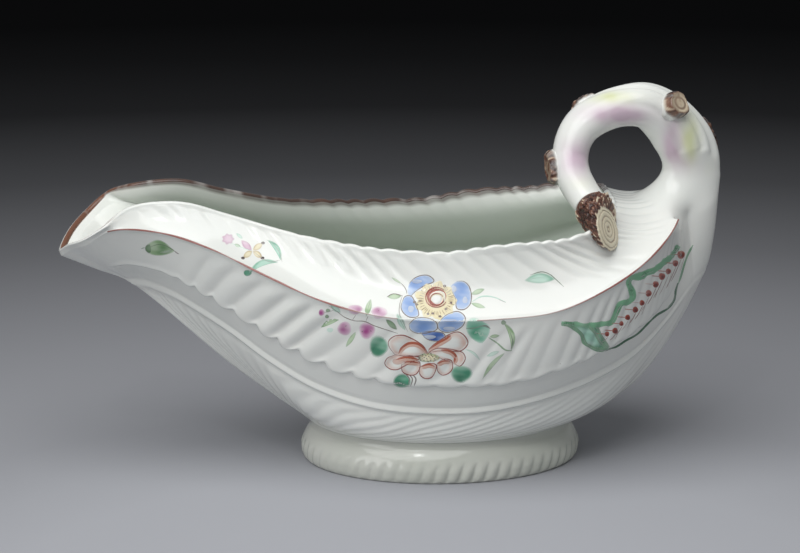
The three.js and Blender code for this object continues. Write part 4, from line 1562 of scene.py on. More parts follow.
    def trail(self, points: Array, normals: Array, colour: Pigment, width: Array, strength: Array) -> None:
        """Lays a line over points of the hull.

        Args:
            points: the points in millimetres.
            normals: their outward normals.
            colour: the enamel.
            width: the line's width at each point.
            strength: how much it covers there.
        """
        across = unit(np.cross(normals, np.gradient(points, axis=0)))
        press = 1 + 0.35 * self.grain(points[:, 0] * 0.3, points[:, 2] * 0.3)
        rows = points[None] + across[None] * (RIBBON[:, None] * press * width / 2)[..., None]
        self.ribbon(rows, np.broadcast_to(normals, rows.shape), press, colour, strength)

    def ribbon(self, rows: Array, normals: Array, press: Array, colour: Pigment, strength: Array | float) -> None:
        """Adds a line's rows, its middle raised and its edges sunk in what lies under it.

        Args:
            rows: its points on the hull, shaped (5, count, 3).
            normals: the outward normals there.
            press: how hard the brush presses at each point.
            colour: the enamel.
            strength: how much it covers.
        """
        rows = rows + normals * self.lift * (1 + self.level) * RIBBON_RISE[:, None, None]
        tint = np.broadcast_to(colour.rgba(), (*rows.shape[:2], 4)).copy()
        tint[..., 3] = RIBBON_COVER[:, None] * strength * np.clip(0.6 + 0.4 * press, 0, 1)
        self.lay(rows, normals, tint)


@dataclass
class Spray:
    """The painted flowers, leaves and lines. Places are in the camera's frame."""

    brush: Brush

    def spout_leaf(self) -> None:
        """The single leaf under the spout."""
        b = self.brush
        outline = [(144.5, 247), (149, 242.5), (158, 239.5), (165, 242), (171, 247), (175, 251), (169, 254.3),
                   (159, 256), (150, 254.5), (145.5, 250.5)]
        b.wash(outline, Pair.LEAF, (163, 249, 9), 0.9, 0.15)
        b.blob((149, 248.5), 4.2, 5.2, Pair.DARK_LEAF, strength=0.85)
        b.leaf((156, 253), (174, 250), 5, Pair.DARK_LEAF, strength=0.7)
        b.stroke([(151, 246.5), (158, 244.5), (165, 245.5), (170, 248), (175, 251.5)], Pigment.LEAF_DEEP, 0.28)
        b.stroke([(174, 250.5), (177, 253), (179, 254)], Pigment.BROWN_LINE, 0.4, 0.6)
        b.stroke([(145, 247.5), (141, 248.7)], Pigment.LEAF_DEEP, 0.35, 0.6)

    def sprig(self) -> None:
        """The small sprig on the upper leaf."""
        b = self.brush
        b.stroke([(253, 251), (262, 258), (270, 262), (280, 260)], Pigment.BROWN_LINE, 0.22, 0.6)
        b.stroke([(231, 243), (240, 247), (252, 251)], Pigment.TEAL_PALE, 0.3, 0.5)
        b.blob((228, 239), 6.3, 5.6, Pair.BUD, strength=0.62, lobes=7)
        b.leaf((234, 244), (241, 247), 3.5, Pair.LEAF, strength=0.6)
        b.leaf((236, 233), (243, 239), 3.5, Pair.TEAL, strength=0.6)
        b.leaf((241, 240), (252, 251), 7, Pair.BUD, strength=0.65)
        for tip in ((263, 243), (262.5, 258), (243, 258)):
            b.leaf((252.5, 250.5), tip, 6.5, Pair.WING, strength=0.85)
            b.blob(tip, 2.2, 1.6, Pigment.BARK_DEEP, strength=0.9)
        b.leaf((267, 239.5), (281, 261), 6, Pair.TEAL, bend=-0.14, strength=0.85)
        b.leaf((279, 262), (248, 274), 6.5, Pair.TEAL, bend=0.16, strength=0.85)
        b.blob((247.5, 273), 4.5, 3.4, Pair.DARK_TEAL, strength=0.85)
        b.stroke([(267, 240), (275, 246), (280, 254), (282, 262)], Pigment.BROWN_LINE, 0.2, 0.5)

    def buds(self) -> None:
        """The spray of purple buds."""
        b = self.brush
        stem = [(328.6, 305.7), (337, 311.4), (344.3, 317), (354.3, 320.7), (364.3, 321.4), (374.3, 325.7),
                (387, 330), (398, 333.5)]
        b.stroke(stem, Pigment.BROWN_LINE, 0.3, 0.85)
        for stalk in ([(352, 320.5), (356, 315)], [(366, 321), (368, 316)], [(334, 310), (328, 312), (323, 312)]):
            b.stroke(stalk, Pigment.BROWN_LINE, 0.22, 0.6)
        b.leaf((330, 304), (341, 313), 6, Pair.TEAL, strength=0.75)
        b.blob((321.5, 312.5), 3.3, 3.8, Pair.BUD, (321, 313, 2.5), 0.85)
        for x, y, width in ((328, 310.5, 2.6), (327, 316.5, 2.2)):
            b.blob((x, y), width, 2, Pair.DARK_LEAF, strength=0.75)
        for centre, width, height, pool, strength in (
                ((355, 309.5), 8, 5.2, (358, 311.5, 4), 0.8), ((379, 312.5), 8.6, 6.6, (378, 310, 3.4), 0.7),
                ((344.5, 328.5), 7.4, 7.4, (343, 328, 4.6), 0.9), ((367, 330.5), 8.6, 8.8, (366, 331, 5.4), 0.9)):
            b.blob(centre, width, height, Pair.BUD, pool, strength)
        for x, y in ((354, 307.5), (378.5, 310.8), (362.5, 331.5), (371, 331), (346, 326)):
            b.blob((x, y), 1.3, 1.0, Pigment.BARK_DEEP, strength=0.85)
        b.leaf((365.7, 317), (371, 298.5), 6.5, Pair.LEAF, strength=0.8, vein=Pigment.LEAF_DEEP)
        b.leaf((340, 319.5), (320, 328), 5.5, Pair.LEAF, strength=0.9, bend=0.08, vein=Pigment.LEAF)
        b.leaf((385.5, 319), (397.5, 330), 6, Pair.DARK_LEAF, strength=0.85)
        b.leaf((356.5, 331), (345.5, 347.5), 5, Pair.LEAF, strength=0.85)
        b.blob((330, 330), 3.6, 2.6, Pigment.TEAL_PALE, strength=0.5)
        b.leaf((396.5, 313), (405.5, 331), 7, Pair.TEAL, strength=0.6, vein=Pigment.LEAF_DEEP)
        b.leaf((387, 297), (402, 296), 6, Pair.LEAF, strength=0.8)
        b.stroke([(387, 297), (393, 293.8), (402.5, 295.8)], Pigment.BROWN_LINE, 0.3)
        right = [(402.5, 295.5), (400, 303), (399.3, 313), (404, 324), (408, 332)]
        b.stroke(right, Pigment.BROWN_LINE, 0.25, 0.7)
        b.leaf((391, 277), (402, 284), 2.6, Pair.LEAF, strength=0.6)
        b.stroke([(401, 283), (405.5, 288.5), (407, 294)], Pigment.BROWN_LINE, 0.25, 0.7)

    def ring(self, middle: tuple, width: float, height: float, span: tuple) -> None:
        """Draws an open ring in rose.

        Args:
            middle: its middle in the camera's frame.
            width: half its width.
            height: half its height.
            span: the turns in radians at which it starts and ends.
        """
        turn = np.linspace(*span, 26)
        places = np.stack([middle[0] + width * np.cos(turn), middle[1] + height * np.sin(turn)], axis=1)
        self.brush.stroke(places, Pigment.ROSE, 0.4, 0.95)

    def blue_flower(self) -> None:
        """The large flower with blue petals, a yellow ring and a red and white middle."""
        b = self.brush
        petals = (
            ([(407, 293), (409, 283.5), (414, 278.5), (421, 275.5), (429, 275.7), (434, 281), (424, 286),
              (415, 292), (410, 297)], (417, 283, 8)),
            ([(402, 302), (405, 296.5), (411, 296), (415.5, 304), (418.5, 315.5), (411, 317.5), (404, 313.5),
              (401, 307.5)], (409.5, 306, 8)),
            ([(408.8, 324.5), (414.5, 319), (424, 317.5), (436, 322), (437, 329), (429, 332.5), (418.5, 333.5),
              (410.5, 330)], (422, 329, 9)),
            ([(420, 332.5), (432, 331.5), (444, 333.8), (445, 338), (438, 341), (428, 339.6)], (434, 336.5, 9)),
            ([(437.5, 324), (445.5, 315.5), (458, 311.5), (465, 317), (463, 325.5), (453, 331.5), (443, 331.8),
              (438.5, 328.5)], (448, 327, 8)),
            ([(450.5, 286), (456.5, 281.2), (464, 281.5), (469.5, 287), (471.3, 297), (470, 304.5), (464, 309.5),
              (457, 308.5), (455.5, 299), (452.5, 292)], (460, 292, 11)),
        )
        for k, (outline, pool) in enumerate(petals):
            b.wash(outline, Pair.DARK_BLUE if k == 3 else Pair.BLUE, pool, 0.92, 0.14)
            b.stroke(outline[1:] if k in (0, 5) else outline + outline[:1], Pigment.BROWN_LINE, 0.34, 0.85)
        b.level = 1
        for x, y, w, h in ((417, 281.5, 6, 2.4), (454, 289, 3, 4), (411, 309, 3.5, 4), (449, 328.5, 7, 2.2),
                           (430, 337, 7, 2.4), (450, 320.5, 8, 1.6), (465, 300, 3, 4)):
            b.blob((x, y), w, h, Pair.DARK_BLUE, strength=0.55, soft=0.6)
        b.level = 2
        b.blob((435.7, 300.5), 21, 18.8, Pigment.CREAM, strength=0.97, lobes=19, soft=0.1)
        b.level = 3
        for k in range(40):
            a = 2 * math.pi * k / 40 + 0.04 * math.sin(5.0 * k)
            r = 0.9 + 0.08 * math.sin(3.7 * k)
            at = [(436 + 20 * g * math.cos(a), 300 + 17.8 * g * math.sin(a)) for g in (0.62, 0.78, r)]
            b.stroke(at, Pigment.OCHRE, 0.3, 0.8 if math.sin(a) > -0.3 else 0.4)
        for x, y in ((414.5, 302), (417, 304.5), (420, 301), (428, 314), (440, 316.5), (451, 303), (444.5, 286),
                     (433, 313.5), (446, 309)):
            b.blob((x, y), 1.8, 1.4, Pigment.BROWN_LINE, strength=0.8)
        b.level = 4
        b.blob((436.2, 297.2), 11.8, 10.9, Pair.RING, strength=0.9, soft=0.1)
        b.level = 6
        b.blob((437.6, 297.6), 9.6, 8.6, Pair.RING_INSIDE, strength=0.95, soft=0.1)
        b.level = 8
        for r in (10.8, 8.6):
            self.ring((436.4, 297.4), r, r * 0.93, (0.15 * math.pi, 1.75 * math.pi))
        b.level = 10
        b.blob((437, 299.5), 6.4, 5.6, Pigment.WHITE, strength=0.97, soft=0.2)
        self.ring((436.8, 299.3), 6.6, 5.8, (-0.1, 2 * math.pi - 0.4))
        b.level = 0

    def peony(self) -> None:
        """The open flower in iron red."""
        b = self.brush
        petals = (
            [(394.5, 354.3), (389.3, 347), (388.6, 341.4), (394, 336.4), (402.9, 335.2), (410.5, 338),
             (418, 342), (424, 347), (427, 354), (415, 356), (403, 356)],
            [(427, 353), (432.5, 345.5), (442.5, 338.6), (450, 334), (458.6, 332), (465.5, 337), (467.9, 343.5),
             (461.4, 350.5), (450, 351), (438, 351)],
            [(394.5, 355), (387.3, 358.2), (384.8, 363.6), (389.5, 368.6), (397, 369.6), (403.5, 366.5),
             (412, 362), (420, 358), (410, 355.5)],
            [(401.4, 364.5), (402.5, 371.5), (408.6, 374.8), (415.7, 374.3), (419.6, 368.6), (419.2, 361.5),
             (411, 361)],
            [(419.3, 367), (420, 374.3), (424.5, 378.3), (431, 377.6), (435, 371.9), (436, 364.8), (428, 363.5)],
            [(437, 363.3), (437.6, 370.9), (442.3, 375), (448.6, 373.2), (452.3, 368.6), (451.6, 360.9),
             (444, 359)],
            [(452.9, 362.9), (460, 366), (465.3, 358.6), (463, 352.9), (457, 350.6), (446, 348.4),
             (435.7, 348.6), (428.6, 353.4), (440, 358)],
        )
        for outline in petals:
            b.wash(outline, Pair.PETAL, strength=0.6, soft=0.2)
        b.level = 1
        for outline in petals:
            b.stroke(outline + outline[:1], Pigment.RED_LINE, 0.38, 0.95)
        bands = (
            [(398.5, 353.5), (402.5, 347.5), (408.6, 343.8), (417, 344), (422.9, 348), (426.4, 354)],
            [(428.5, 349.5), (438.5, 343), (447, 338.5), (450.7, 335.2)],
            [(441, 349.6), (451, 352), (455.5, 357.6), (454, 363)],
            [(396, 359.5), (406, 357.5), (418, 359.5)],
            [(403, 362), (412, 361.8), (420, 363.2)],
            [(421, 366.6), (428, 364.6), (435, 366.4)],
            [(437.5, 363.8), (443, 361.2), (450, 361)],
        )
        for k, band in enumerate(bands):
            b.stroke(np.array(band) + (0.6, 1.6), Pigment.IRON_PALE, 1.5, 0.8, 0.8)
            b.stroke(band, Pigment.IRON, (1.3, 1.2, 1.5, 1.2, 0.9, 0.9, 0.9)[k], 0.95, 0.75)
        b.blob((398, 361.5), 7, 3.6, Pair.FOLD, strength=0.6, soft=0.6)
        b.level = 3
        b.blob((428.6, 357.6), 11.5, 4.8, Pair.SEEDS, strength=0.9)
        b.level = 4
        for k in range(26):
            a, r = 2.4 * k, math.sqrt((k + 0.5) / 26)
            dot = Pigment.BROWN_LINE if k % 3 else Pigment.OCHRE
            b.blob((428.6 + 10.6 * r * math.cos(a), 357.6 + 4.3 * r * math.sin(a)), 0.9, 0.8, dot, strength=0.9)
        b.level = 0

    def greenery(self) -> None:
        """The leaves round the two large flowers."""
        b = self.brush
        b.blob((378.6, 346.4), 10.2, 11.6, Pair.DARK_TEAL, (376, 352, 8), 0.85)
        b.blob((402, 381), 9.8, 7.6, Pair.DARK_TEAL, (398, 384, 6), 0.88)
        for x in (407, 410, 413.5):
            b.stroke([(x - 1, 374.5), (x + 2.4, 379), (x + 0.6, 386)], Pigment.BARK_DEEP, 0.5, 0.75)
        b.blob((461.2, 373.8), 11.6, 9.4, Pair.DARK_TEAL, (459, 378, 7), 0.88)
        right = [(465.5, 327), (468, 319.5), (474, 317.2), (482, 320), (490.3, 326.5), (489, 336), (482, 344),
                 (474, 341), (467.5, 334)]
        b.wash(right, Pair.TEAL, (476, 333, 11), 0.88, 0.15)
        b.stroke([(466, 328.5), (474, 328), (483, 326), (490, 328.5)], Pigment.TEAL_DEEP, 0.7, 0.8)
        b.stroke([(480, 326.3), (486, 325.6), (490.5, 329)], Pigment.BARK_DEEP, 0.5, 0.8)
        b.leaf((471, 331), (488, 337), 7, Pair.DARK_TEAL, strength=0.6)
        b.leaf((470.5, 294.5), (485, 288.8), 5.6, Pair.LEAF, strength=0.75)
        b.leaf((470.5, 303), (486, 308), 4.8, Pair.LEAF, strength=0.8)
        b.stroke([(471.5, 302), (481.4, 296.6), (493, 297), (506, 302.3)], Pigment.TEAL_PALE, 0.5, 0.7)
        b.stroke([(469, 287), (471.5, 294), (471, 303)], Pigment.BROWN_LINE, 0.36, 0.75)
        b.stroke([(498, 299), (506, 302.5)], Pigment.BROWN_LINE, 0.25, 0.6)
        b.leaf((503, 321.5), (511.5, 351), 6.5, Pair.LEAF, bend=-0.16, strength=0.85)
        b.blob((503.5, 322.5), 2.8, 2.6, Pair.DARK_LEAF, strength=0.7)
        b.stroke([(510, 332), (512.5, 341), (511, 350)], Pigment.LEAF_DEEP, 0.4, 0.75)
        b.stroke([(488.5, 337.5), (497, 343), (505.5, 350), (512, 350.7)], Pigment.LEAF, 0.55, 0.8)
        b.leaf((489, 337), (500, 335.5), 4, Pair.LEAF, strength=0.8)
        b.leaf((505.5, 352), (482, 379.5), 5, Pair.LEAF, bend=0.06, strength=0.8)
        b.stroke([(504, 354), (494, 365), (482, 379.5)], Pigment.LEAF_DEEP, 0.25, 0.5)
        b.leaf((500, 351), (486, 356.5), 4.5, Pair.TEAL, strength=0.45)
        b.leaf((465, 349), (480.5, 361), 3, Pair.TEAL, bend=-0.1, strength=0.5)
        b.leaf((524, 280.5), (556, 279), 11, Pair.TEAL, bend=-0.05, strength=0.75)
        b.stroke([(530, 275), (542, 271.8), (550, 274.5), (556, 279.5), (564, 287)], Pigment.LEAF_DEEP, 0.35, 0.8)
        b.stroke([(526, 281), (536, 278), (546, 278)], Pigment.TEAL, 0.25, 0.5)

    def furled_leaf(self) -> None:
        """The furled leaf with its row of berries at the stern."""
        b = self.brush
        body = [(562, 324), (570, 325), (580, 324.5), (590, 324.5), (597, 327), (601, 335), (607, 344),
                (610.5, 349), (603, 351), (593, 349.5), (584.5, 344), (580, 335), (572, 329)]
        b.wash(body, Pair.FERN, strength=0.95, soft=0.12)
        b.level = 1
        for line, width in (
                ([(561, 323.3), (572, 327), (581, 334), (585, 343), (594, 349)], 1.5),
                ([(588, 325), (595, 333), (600, 342), (609, 349)], 1.7),
                ([(597, 327), (601, 336), (609, 347)], 1.2),
                ([(586, 344), (597, 349.5), (610, 349)], 1.5)):
            b.stroke(line, Pigment.FERN, width, 0.8, 0.6)
            b.stroke(np.array(line) + (0.8, 0.5), Pigment.FERN_DEEP, width * 0.4, 0.6, 0.7)
        edge = [(561.4, 323.6), (575.7, 324.3), (588.6, 325.7), (600, 324.3), (611.4, 322), (615, 315.7),
                (617.9, 308.6), (621.4, 303.6), (629.3, 301.4), (632.9, 297), (631.4, 290), (628.6, 282.9),
                (631.4, 277.9), (640, 276.4), (646.4, 272.9), (652.9, 270.7), (658.6, 267), (664.3, 262),
                (670.7, 257), (675.7, 250), (678.6, 245.7)]
        b.stroke(edge, Pigment.FERN_PALE, 2.3, 0.92, 0.3)
        for a, z in ((0, 2), (4, 8), (9, 13), (13, 16), (18, 21)):
            b.stroke(edge[a:z], Pigment.FERN, 1.9, 0.9, 0.85)
            b.stroke(np.array(edge[a:z]) + (0.5, 0.6), Pigment.FERN_DEEP, 0.6, 0.5, 0.9)
        lower = [(609, 348.8), (615.7, 347), (625.7, 340.7), (637, 334.3), (648.6, 322.9), (657, 315),
                 (668.6, 307.9), (674.3, 300), (675.7, 290), (678, 283)]
        b.stroke(lower, Pigment.FERN_DEEP, 0.8, 0.95, 0.3)
        b.stroke([(667, 309), (674, 300), (676, 290), (677.8, 284)], Pigment.FERN_DEEP, 0.85, 0.8, 0.6)
        tip = [(677.9, 284.5), (680.7, 277), (684.3, 264.3), (688.6, 252.9), (693, 245)]
        b.stroke(tip, Pigment.FERN, 0.7, 0.75, 0.5)
        berries = [(607, 334, 2.2), (615, 330.7, 2.7), (621.4, 323.6, 2.1), (627.6, 317.4, 2.5),
                   (635.3, 309.7, 2.7), (642, 302.9, 2.5), (648.6, 293.3, 2.9), (655.7, 284.3, 2.9),
                   (662, 276.4, 3.1), (668.3, 271.4, 2.6), (675.4, 263.3, 2.8), (681, 254.7, 3.6)]
        for k, (x, y, r) in enumerate(berries):
            shadow = [(x + 0.6, y + 3), (x - 2 - 0.25 * k, y + 6 + 0.9 * k), (x - 5 - 0.45 * k, y + 8 + 1.7 * k)]
            b.stroke(shadow, Pigment.BERRY_DEEP, 0.26, 0.75 if k % 3 else 0.5)
            if k % 2:
                b.stroke([(x + 3.6, y + 1), (x - 0.1 * k, y + 8 + 0.8 * k)], Pigment.BERRY_DEEP, 0.22, 0.5)
            strength = 0.4 if k in (5, 6, 7) else 0.85
            b.stroke([(x - 10.5, y - 0.6), (x - 2, y)], Pigment.BERRY, 0.3, strength, 0.4)
            b.blob((x, y), r * 1.15, r * 1.25, Pair.BERRY, (x + 0.5, y + 0.8, r * 0.7), 0.98, soft=0.12)
        b.level = 0

    def paint(self) -> None:
        """Paints everything."""
        self.spout_leaf()
        self.sprig()
        self.buds()
        self.greenery()
        self.peony()
        self.blue_flower()
        self.furled_leaf()


@dataclass(frozen=True)
class Glaze:
    """Soft-paste porcelain under a clear glaze: greyish white, glossy, with a few kiln specks."""

    name: str
    colour: tuple = (0.84, 0.85, 0.81)
    cool: tuple = (0.81, 0.83, 0.79)
    roughness: tuple = (0.1, 0.2)
    specks: float = 0.05
    speck_scale: float = 110.0
    speck_colour: tuple = (0.12, 0.1, 0.09)
    unevenness: float = 0.12
    uneven_depth: float = 0.0006
    refraction: float = 1.5
    glow: float = 0.06
    glow_radius: tuple = (1.0, 0.9, 0.8)
    glow_scale: float = 0.002

    def material(self) -> bpy.types.Material:
        """Makes the material.

        Returns:
            A node material that also shows the tint attribute over the glaze.
        """
        material = bpy.data.materials.new(self.name)
        material.use_nodes = True
        nodes, links = material.node_tree.nodes, material.node_tree.links
        shader = nodes["Principled BSDF"]
        where = nodes.new("ShaderNodeTexCoord").outputs["Object"]

        def noise(scale: float, detail: float) -> Socket:
            """A noise's height over the surface.

            Args:
                scale: how fine it is.
                detail: how many finer ones are added.

            Returns:
                The socket with the height.
            """
            node = nodes.new("ShaderNodeTexNoise")
            node.inputs["Scale"].default_value = scale
            node.inputs["Detail"].default_value = detail
            links.new(where, node.inputs["Vector"])
            return node.outputs["Fac"]

        def mixed(share: Socket, a: tuple | Socket, b: tuple | Socket) -> Socket:
            """A mixed colour.

            Args:
                share: how much of the second colour it has.
                a: the first colour.
                b: the second.

            Returns:
                The socket with the colour.
            """
            node = nodes.new("ShaderNodeMix")
            node.data_type = "RGBA"
            links.new(share, node.inputs["Factor"])
            for socket, value in ((node.inputs[6], a), (node.inputs[7], b)):
                if isinstance(value, tuple):
                    socket.default_value = (*value, 1.0)
                else:
                    links.new(value, socket)
            return node.outputs[2]

        def ramp(value: Socket, low: float, high: float, to_low: float, to_high: float) -> Socket:
            """A value carried from one range into another.

            Args:
                value: the socket with the value.
                low: the first range's start.
                high: its end.
                to_low: the second range's start.
                to_high: its end.

            Returns:
                The socket with the new value.
            """
            node = nodes.new("ShaderNodeMapRange")
            links.new(value, node.inputs["Value"])
            for key, number in (("From Min", low), ("From Max", high), ("To Min", to_low), ("To Max", to_high)):
                node.inputs[key].default_value = number
            return node.outputs["Result"]

        body = mixed(ramp(noise(28.0, 3.0), 0.35, 0.65, 0.0, 1.0), self.colour, self.cool)
        speck = nodes.new("ShaderNodeTexVoronoi")
        speck.inputs["Scale"].default_value = self.speck_scale
        links.new(where, speck.inputs["Vector"])
        near = ramp(speck.outputs["Distance"], self.specks * 0.6, self.specks, 0.7, 0.0)
        seldom = ramp(noise(60.0, 0.0), 0.62, 0.66, 0.0, 1.0)
        both = nodes.new("ShaderNodeMath")
        both.operation = "MULTIPLY"
        links.new(near, both.inputs[0])
        links.new(seldom, both.inputs[1])
        body = mixed(both.outputs[0], body, self.speck_colour)
        tint = nodes.new("ShaderNodeAttribute")
        tint.attribute_name = TINT
        links.new(mixed(tint.outputs["Alpha"], body, tint.outputs["Color"]), shader.inputs["Base Color"])
        links.new(ramp(noise(90.0, 4.0), 0.3, 0.7, *self.roughness), shader.inputs["Roughness"])
        bump = nodes.new("ShaderNodeBump")
        bump.inputs["Strength"].default_value = self.unevenness
        bump.inputs["Distance"].default_value = self.uneven_depth
        links.new(noise(160.0, 5.0), bump.inputs["Height"])
        links.new(bump.outputs["Normal"], shader.inputs["Normal"])
        shader.inputs["IOR"].default_value = self.refraction
        shader.inputs["Subsurface Weight"].default_value = self.glow
        shader.inputs["Subsurface Radius"].default_value = self.glow_radius
        shader.inputs["Subsurface Scale"].default_value = self.glow_scale
        return material


@dataclass
class Foot:
    """The oval foot: a neck, a roll of slanted gadroons, and a flat rim to stand on.

    knots gives its outside as [outset from the seat's oval, height], from the bowl down.
    """

    half_length: float = 42.0
    half_width: float = 32.3
    centre: float = 13.0
    knots: tuple = (
        (-0.6, 13.0), (-0.5, 12.4), (-0.45, 11.6), (-0.15, 10.6), (0.5, 9.7), (1.45, 8.2), (2.3, 6.3),
        (2.7, 4.4), (2.62, 2.9), (2.35, 1.5), (1.9, 0.55), (1.3, 0.06), (0.7, 0.0),
    )
    levels: int = 52
    flare: float = 2.7
    rim: float = 5.0
    wall: float = 7.5
    gadroons: int = 60
    gadroon_ramp: tuple = (0.1, 1.2, 4.6, 7.6)
    depth: float = 0.34
    slant: float = -0.45
    columns: int = 720

    def angles(self) -> Array:
        """Places round the oval at equal steps of its length.

        Returns:
            Angles in radians, one for each column.
        """
        fine = np.linspace(0, 2 * math.pi, 4001)
        edge = np.stack([self.half_length * np.cos(fine), self.half_width * np.sin(fine)], axis=1)
        length = np.concatenate([[0], np.cumsum(np.linalg.norm(np.diff(edge, axis=0), axis=1))])
        return np.interp(np.arange(self.columns) / self.columns * length[-1], length, fine)

    def section(self) -> Array:
        """The foot's section as [outset, height], from the bowl down and round to the inside.

        Returns:
            Places shaped (rows, 2).
        """
        outside = flat_curve(np.array(self.knots), np.linspace(0, 1, self.levels))
        inside = [(self.flare - 2 - self.rim, 0.0), (self.flare - 2.3 - self.rim, 0.25)]
        return np.concatenate([outside, np.array(inside + [(-self.wall + 0.6, 6.0), (-self.wall, 12.6)])])

    def build(self, offset: Array) -> bpy.types.Object:
        """Makes the piece.

        Args:
            offset: from the potter's frame to the shared one.

        Returns:
            The object.
        """
        turn = self.angles()
        drift = Drift(31, 6, 1)
        phase = 2 * math.pi * self.gadroons * np.arange(self.columns) / self.columns + 0.5 * drift(turn * 4)
        rows = []
        for outset, height in self.section():
            bump = float(window(self.gadroon_ramp, height)) if outset > 0 else 0.0
            uneven = 0.85 + 0.4 * drift(turn * 9 + 2)
            reach = outset + self.depth * bump * uneven * (welt(phase + self.slant * height) - 0.5)
            x, y = (self.half_length + reach) * np.cos(turn), (self.half_width + reach) * np.sin(turn)
            rows.append(np.stack([x, y, np.full_like(turn, height)], axis=1))
        rows = np.array(rows) + np.array([offset[0] + self.centre, 0, 0])
        skin = Skin()
        skin.add(np.concatenate([rows, rows[:1]]), closed=True)
        return skin.build(["foot"], np.zeros(3))[0]


@dataclass
class Painting:
    """The enamel on both sides of the bowl: the sprays, and the red line along the ridge.

    The far side has the near side's painting, moved and made smaller in the camera's frame. gap is where the
    blue flower covers the line, and faint_ramp where the line is worn, both across that frame.
    """

    bowl: LeafBowl
    view: View
    far_move: tuple = (6.0, -3.0)
    far_scale: float = 0.94
    span: tuple = (2.9, 15.0)
    points: int = 640
    gap: tuple = (399, 476)
    faint_ramp: tuple = (330, 380, 560, 600)

    def ridge_line(self, brush: Brush, offset: Array) -> None:
        """Paints the red line along the ridge.

        Args:
            brush: the brush of one side.
            offset: from the potter's frame to the shared one.
        """
        last = self.bowl.hull.last
        s = np.linspace(self.span[0] / last, self.span[1] / last, self.points)
        line = self.bowl.ridge_row(s, 0) + offset
        line = np.array([brush.tree.find_nearest(Vector(point * MM))[0] for point in line]) / MM
        normal = self.bowl.ridge_normal(s)
        across = self.view.seen(line)[:, 0]
        faint = window(self.faint_ramp, across)
        mirror = np.array([1.0, brush.side.value, 1.0])
        for part in (across < self.gap[0], across > self.gap[1]):
            width, strength = 0.55 - 0.2 * faint[part], 0.9 - 0.3 * faint[part]
            brush.trail(line[part] * mirror, normal[part] * mirror, Pigment.RED_LINE, width, strength)

    def build(self, surface: bpy.types.Mesh, offset: Array) -> bpy.types.Object:
        """Makes the piece.

        Args:
            surface: the bowl's mesh, in metres.
            offset: from the potter's frame to the shared one.

        Returns:
            The object.
        """
        tree = BVHTree.FromPolygons([v.co for v in surface.vertices],
                                    [tuple(p.vertices) for p in surface.polygons])
        skin = Skin()
        far = Brush(self.view, tree, skin, Side.FAR, self.far_move, self.far_scale)
        for brush in (Brush(self.view, tree, skin), far):
            Spray(brush).paint()
            self.ridge_line(brush, offset)
        return skin.build(["enamel"], np.zeros(3))[0]


@dataclass(frozen=True)
class Lamp:
    """A round soft lamp that faces the sauceboat, in metres and watts."""

    name: str
    place: tuple
    size: float
    power: float
    aim: tuple = (0.0, 0.0, 0.05)

    def build(self) -> None:
        """Hangs the lamp."""
        data = bpy.data.lights.new(self.name, "AREA")
        data.shape = "DISK"
        data.size = self.size
        data.energy = self.power
        lamp = bpy.data.objects.new(self.name, data)
        lamp.location = self.place
        lamp.rotation_euler = (-Vector(self.place) + Vector(self.aim)).to_track_quat("-Z", "Y").to_euler()
        bpy.context.scene.collection.objects.link(lamp)


@dataclass(frozen=True)
class Studio:
    """The floor, which darkens away from the sauceboat as a painted pool of light, the world and the lamps, in
    metres.

    light_pool_stops gives distances from the floor's middle, each with the floor's tone there, which paints the
    light's fall-off.
    """

    reach: float = 6.0
    middle: tuple = (0.0, -0.15, 0.0)
    light_pool_stops: tuple = (
        (0.0, 0.42), (0.13, 0.39), (0.16, 0.36), (0.2, 0.3), (0.25, 0.28), (0.3, 0.25), (0.37, 0.2),
        (0.45, 0.135), (0.58, 0.063), (0.74, 0.018), (0.88, 0.009), (1.0, 0.005),
    )
    cast: tuple = (0.98, 1.0, 1.07)
    roughness: float = 0.9
    sky: tuple = (0.97, 0.985, 1.0, 1.0)
    sky_strength: float = 0.3
    lamps: tuple = (
        Lamp("key", (-0.35, -0.62, 1.4), 1.8, 21.5),
        Lamp("fill", (-1.3, -1.1, 0.6), 0.9, 5.0),
        Lamp("gleam", (-0.35, -1.1, 1.3), 0.12, 0.9),
    )

    def light_pool_floor_material(self) -> bpy.types.Material:
        """Makes the floor's material, with its painted pool of light.

        Returns:
            The material.
        """
        material = bpy.data.materials.new("floor")
        material.use_nodes = True
        nodes, links = material.node_tree.nodes, material.node_tree.links
        shader = nodes["Principled BSDF"]
        where = nodes.new("ShaderNodeNewGeometry").outputs["Position"]
        away = nodes.new("ShaderNodeVectorMath")
        away.operation = "DISTANCE"
        away.inputs[1].default_value = self.middle
        links.new(where, away.inputs[0])
        # painted pool of light: the floor's colour darkens with distance from its middle
        ramp = nodes.new("ShaderNodeValToRGB")
        while len(ramp.color_ramp.elements) < len(self.light_pool_stops):
            ramp.color_ramp.elements.new(0.5)
        for element, (place, tone) in zip(ramp.color_ramp.elements, self.light_pool_stops):
            element.position = place
            element.color = (*(tone * part for part in self.cast), 1.0)
        links.new(away.outputs["Value"], ramp.inputs["Fac"])
        links.new(ramp.outputs["Color"], shader.inputs["Base Color"])
        shader.inputs["Roughness"].default_value = self.roughness
        shader.inputs["Specular IOR Level"].default_value = 0.0
        return material

    def build(self) -> None:
        """Lays the floor, sets the world and hangs the lamps."""
        far = self.reach
        mesh = bpy.data.meshes.new("floor")
        mesh.from_pydata([(-far, -far, 0), (far, -far, 0), (far, far, 0), (-far, far, 0)], [], [(0, 1, 2, 3)])
        mesh.materials.append(self.light_pool_floor_material())
        floor = bpy.data.objects.new("floor", mesh)
        bpy.context.scene.collection.objects.link(floor)
        world = bpy.data.worlds.new("studio")
        world.use_nodes = True
        world.node_tree.nodes["Background"].inputs["Color"].default_value = self.sky
        world.node_tree.nodes["Background"].inputs["Strength"].default_value = self.sky_strength
        bpy.context.scene.world = world
        for lamp in self.lamps:
            lamp.build()
        bpy.context.scene.view_settings.view_transform = "Standard"


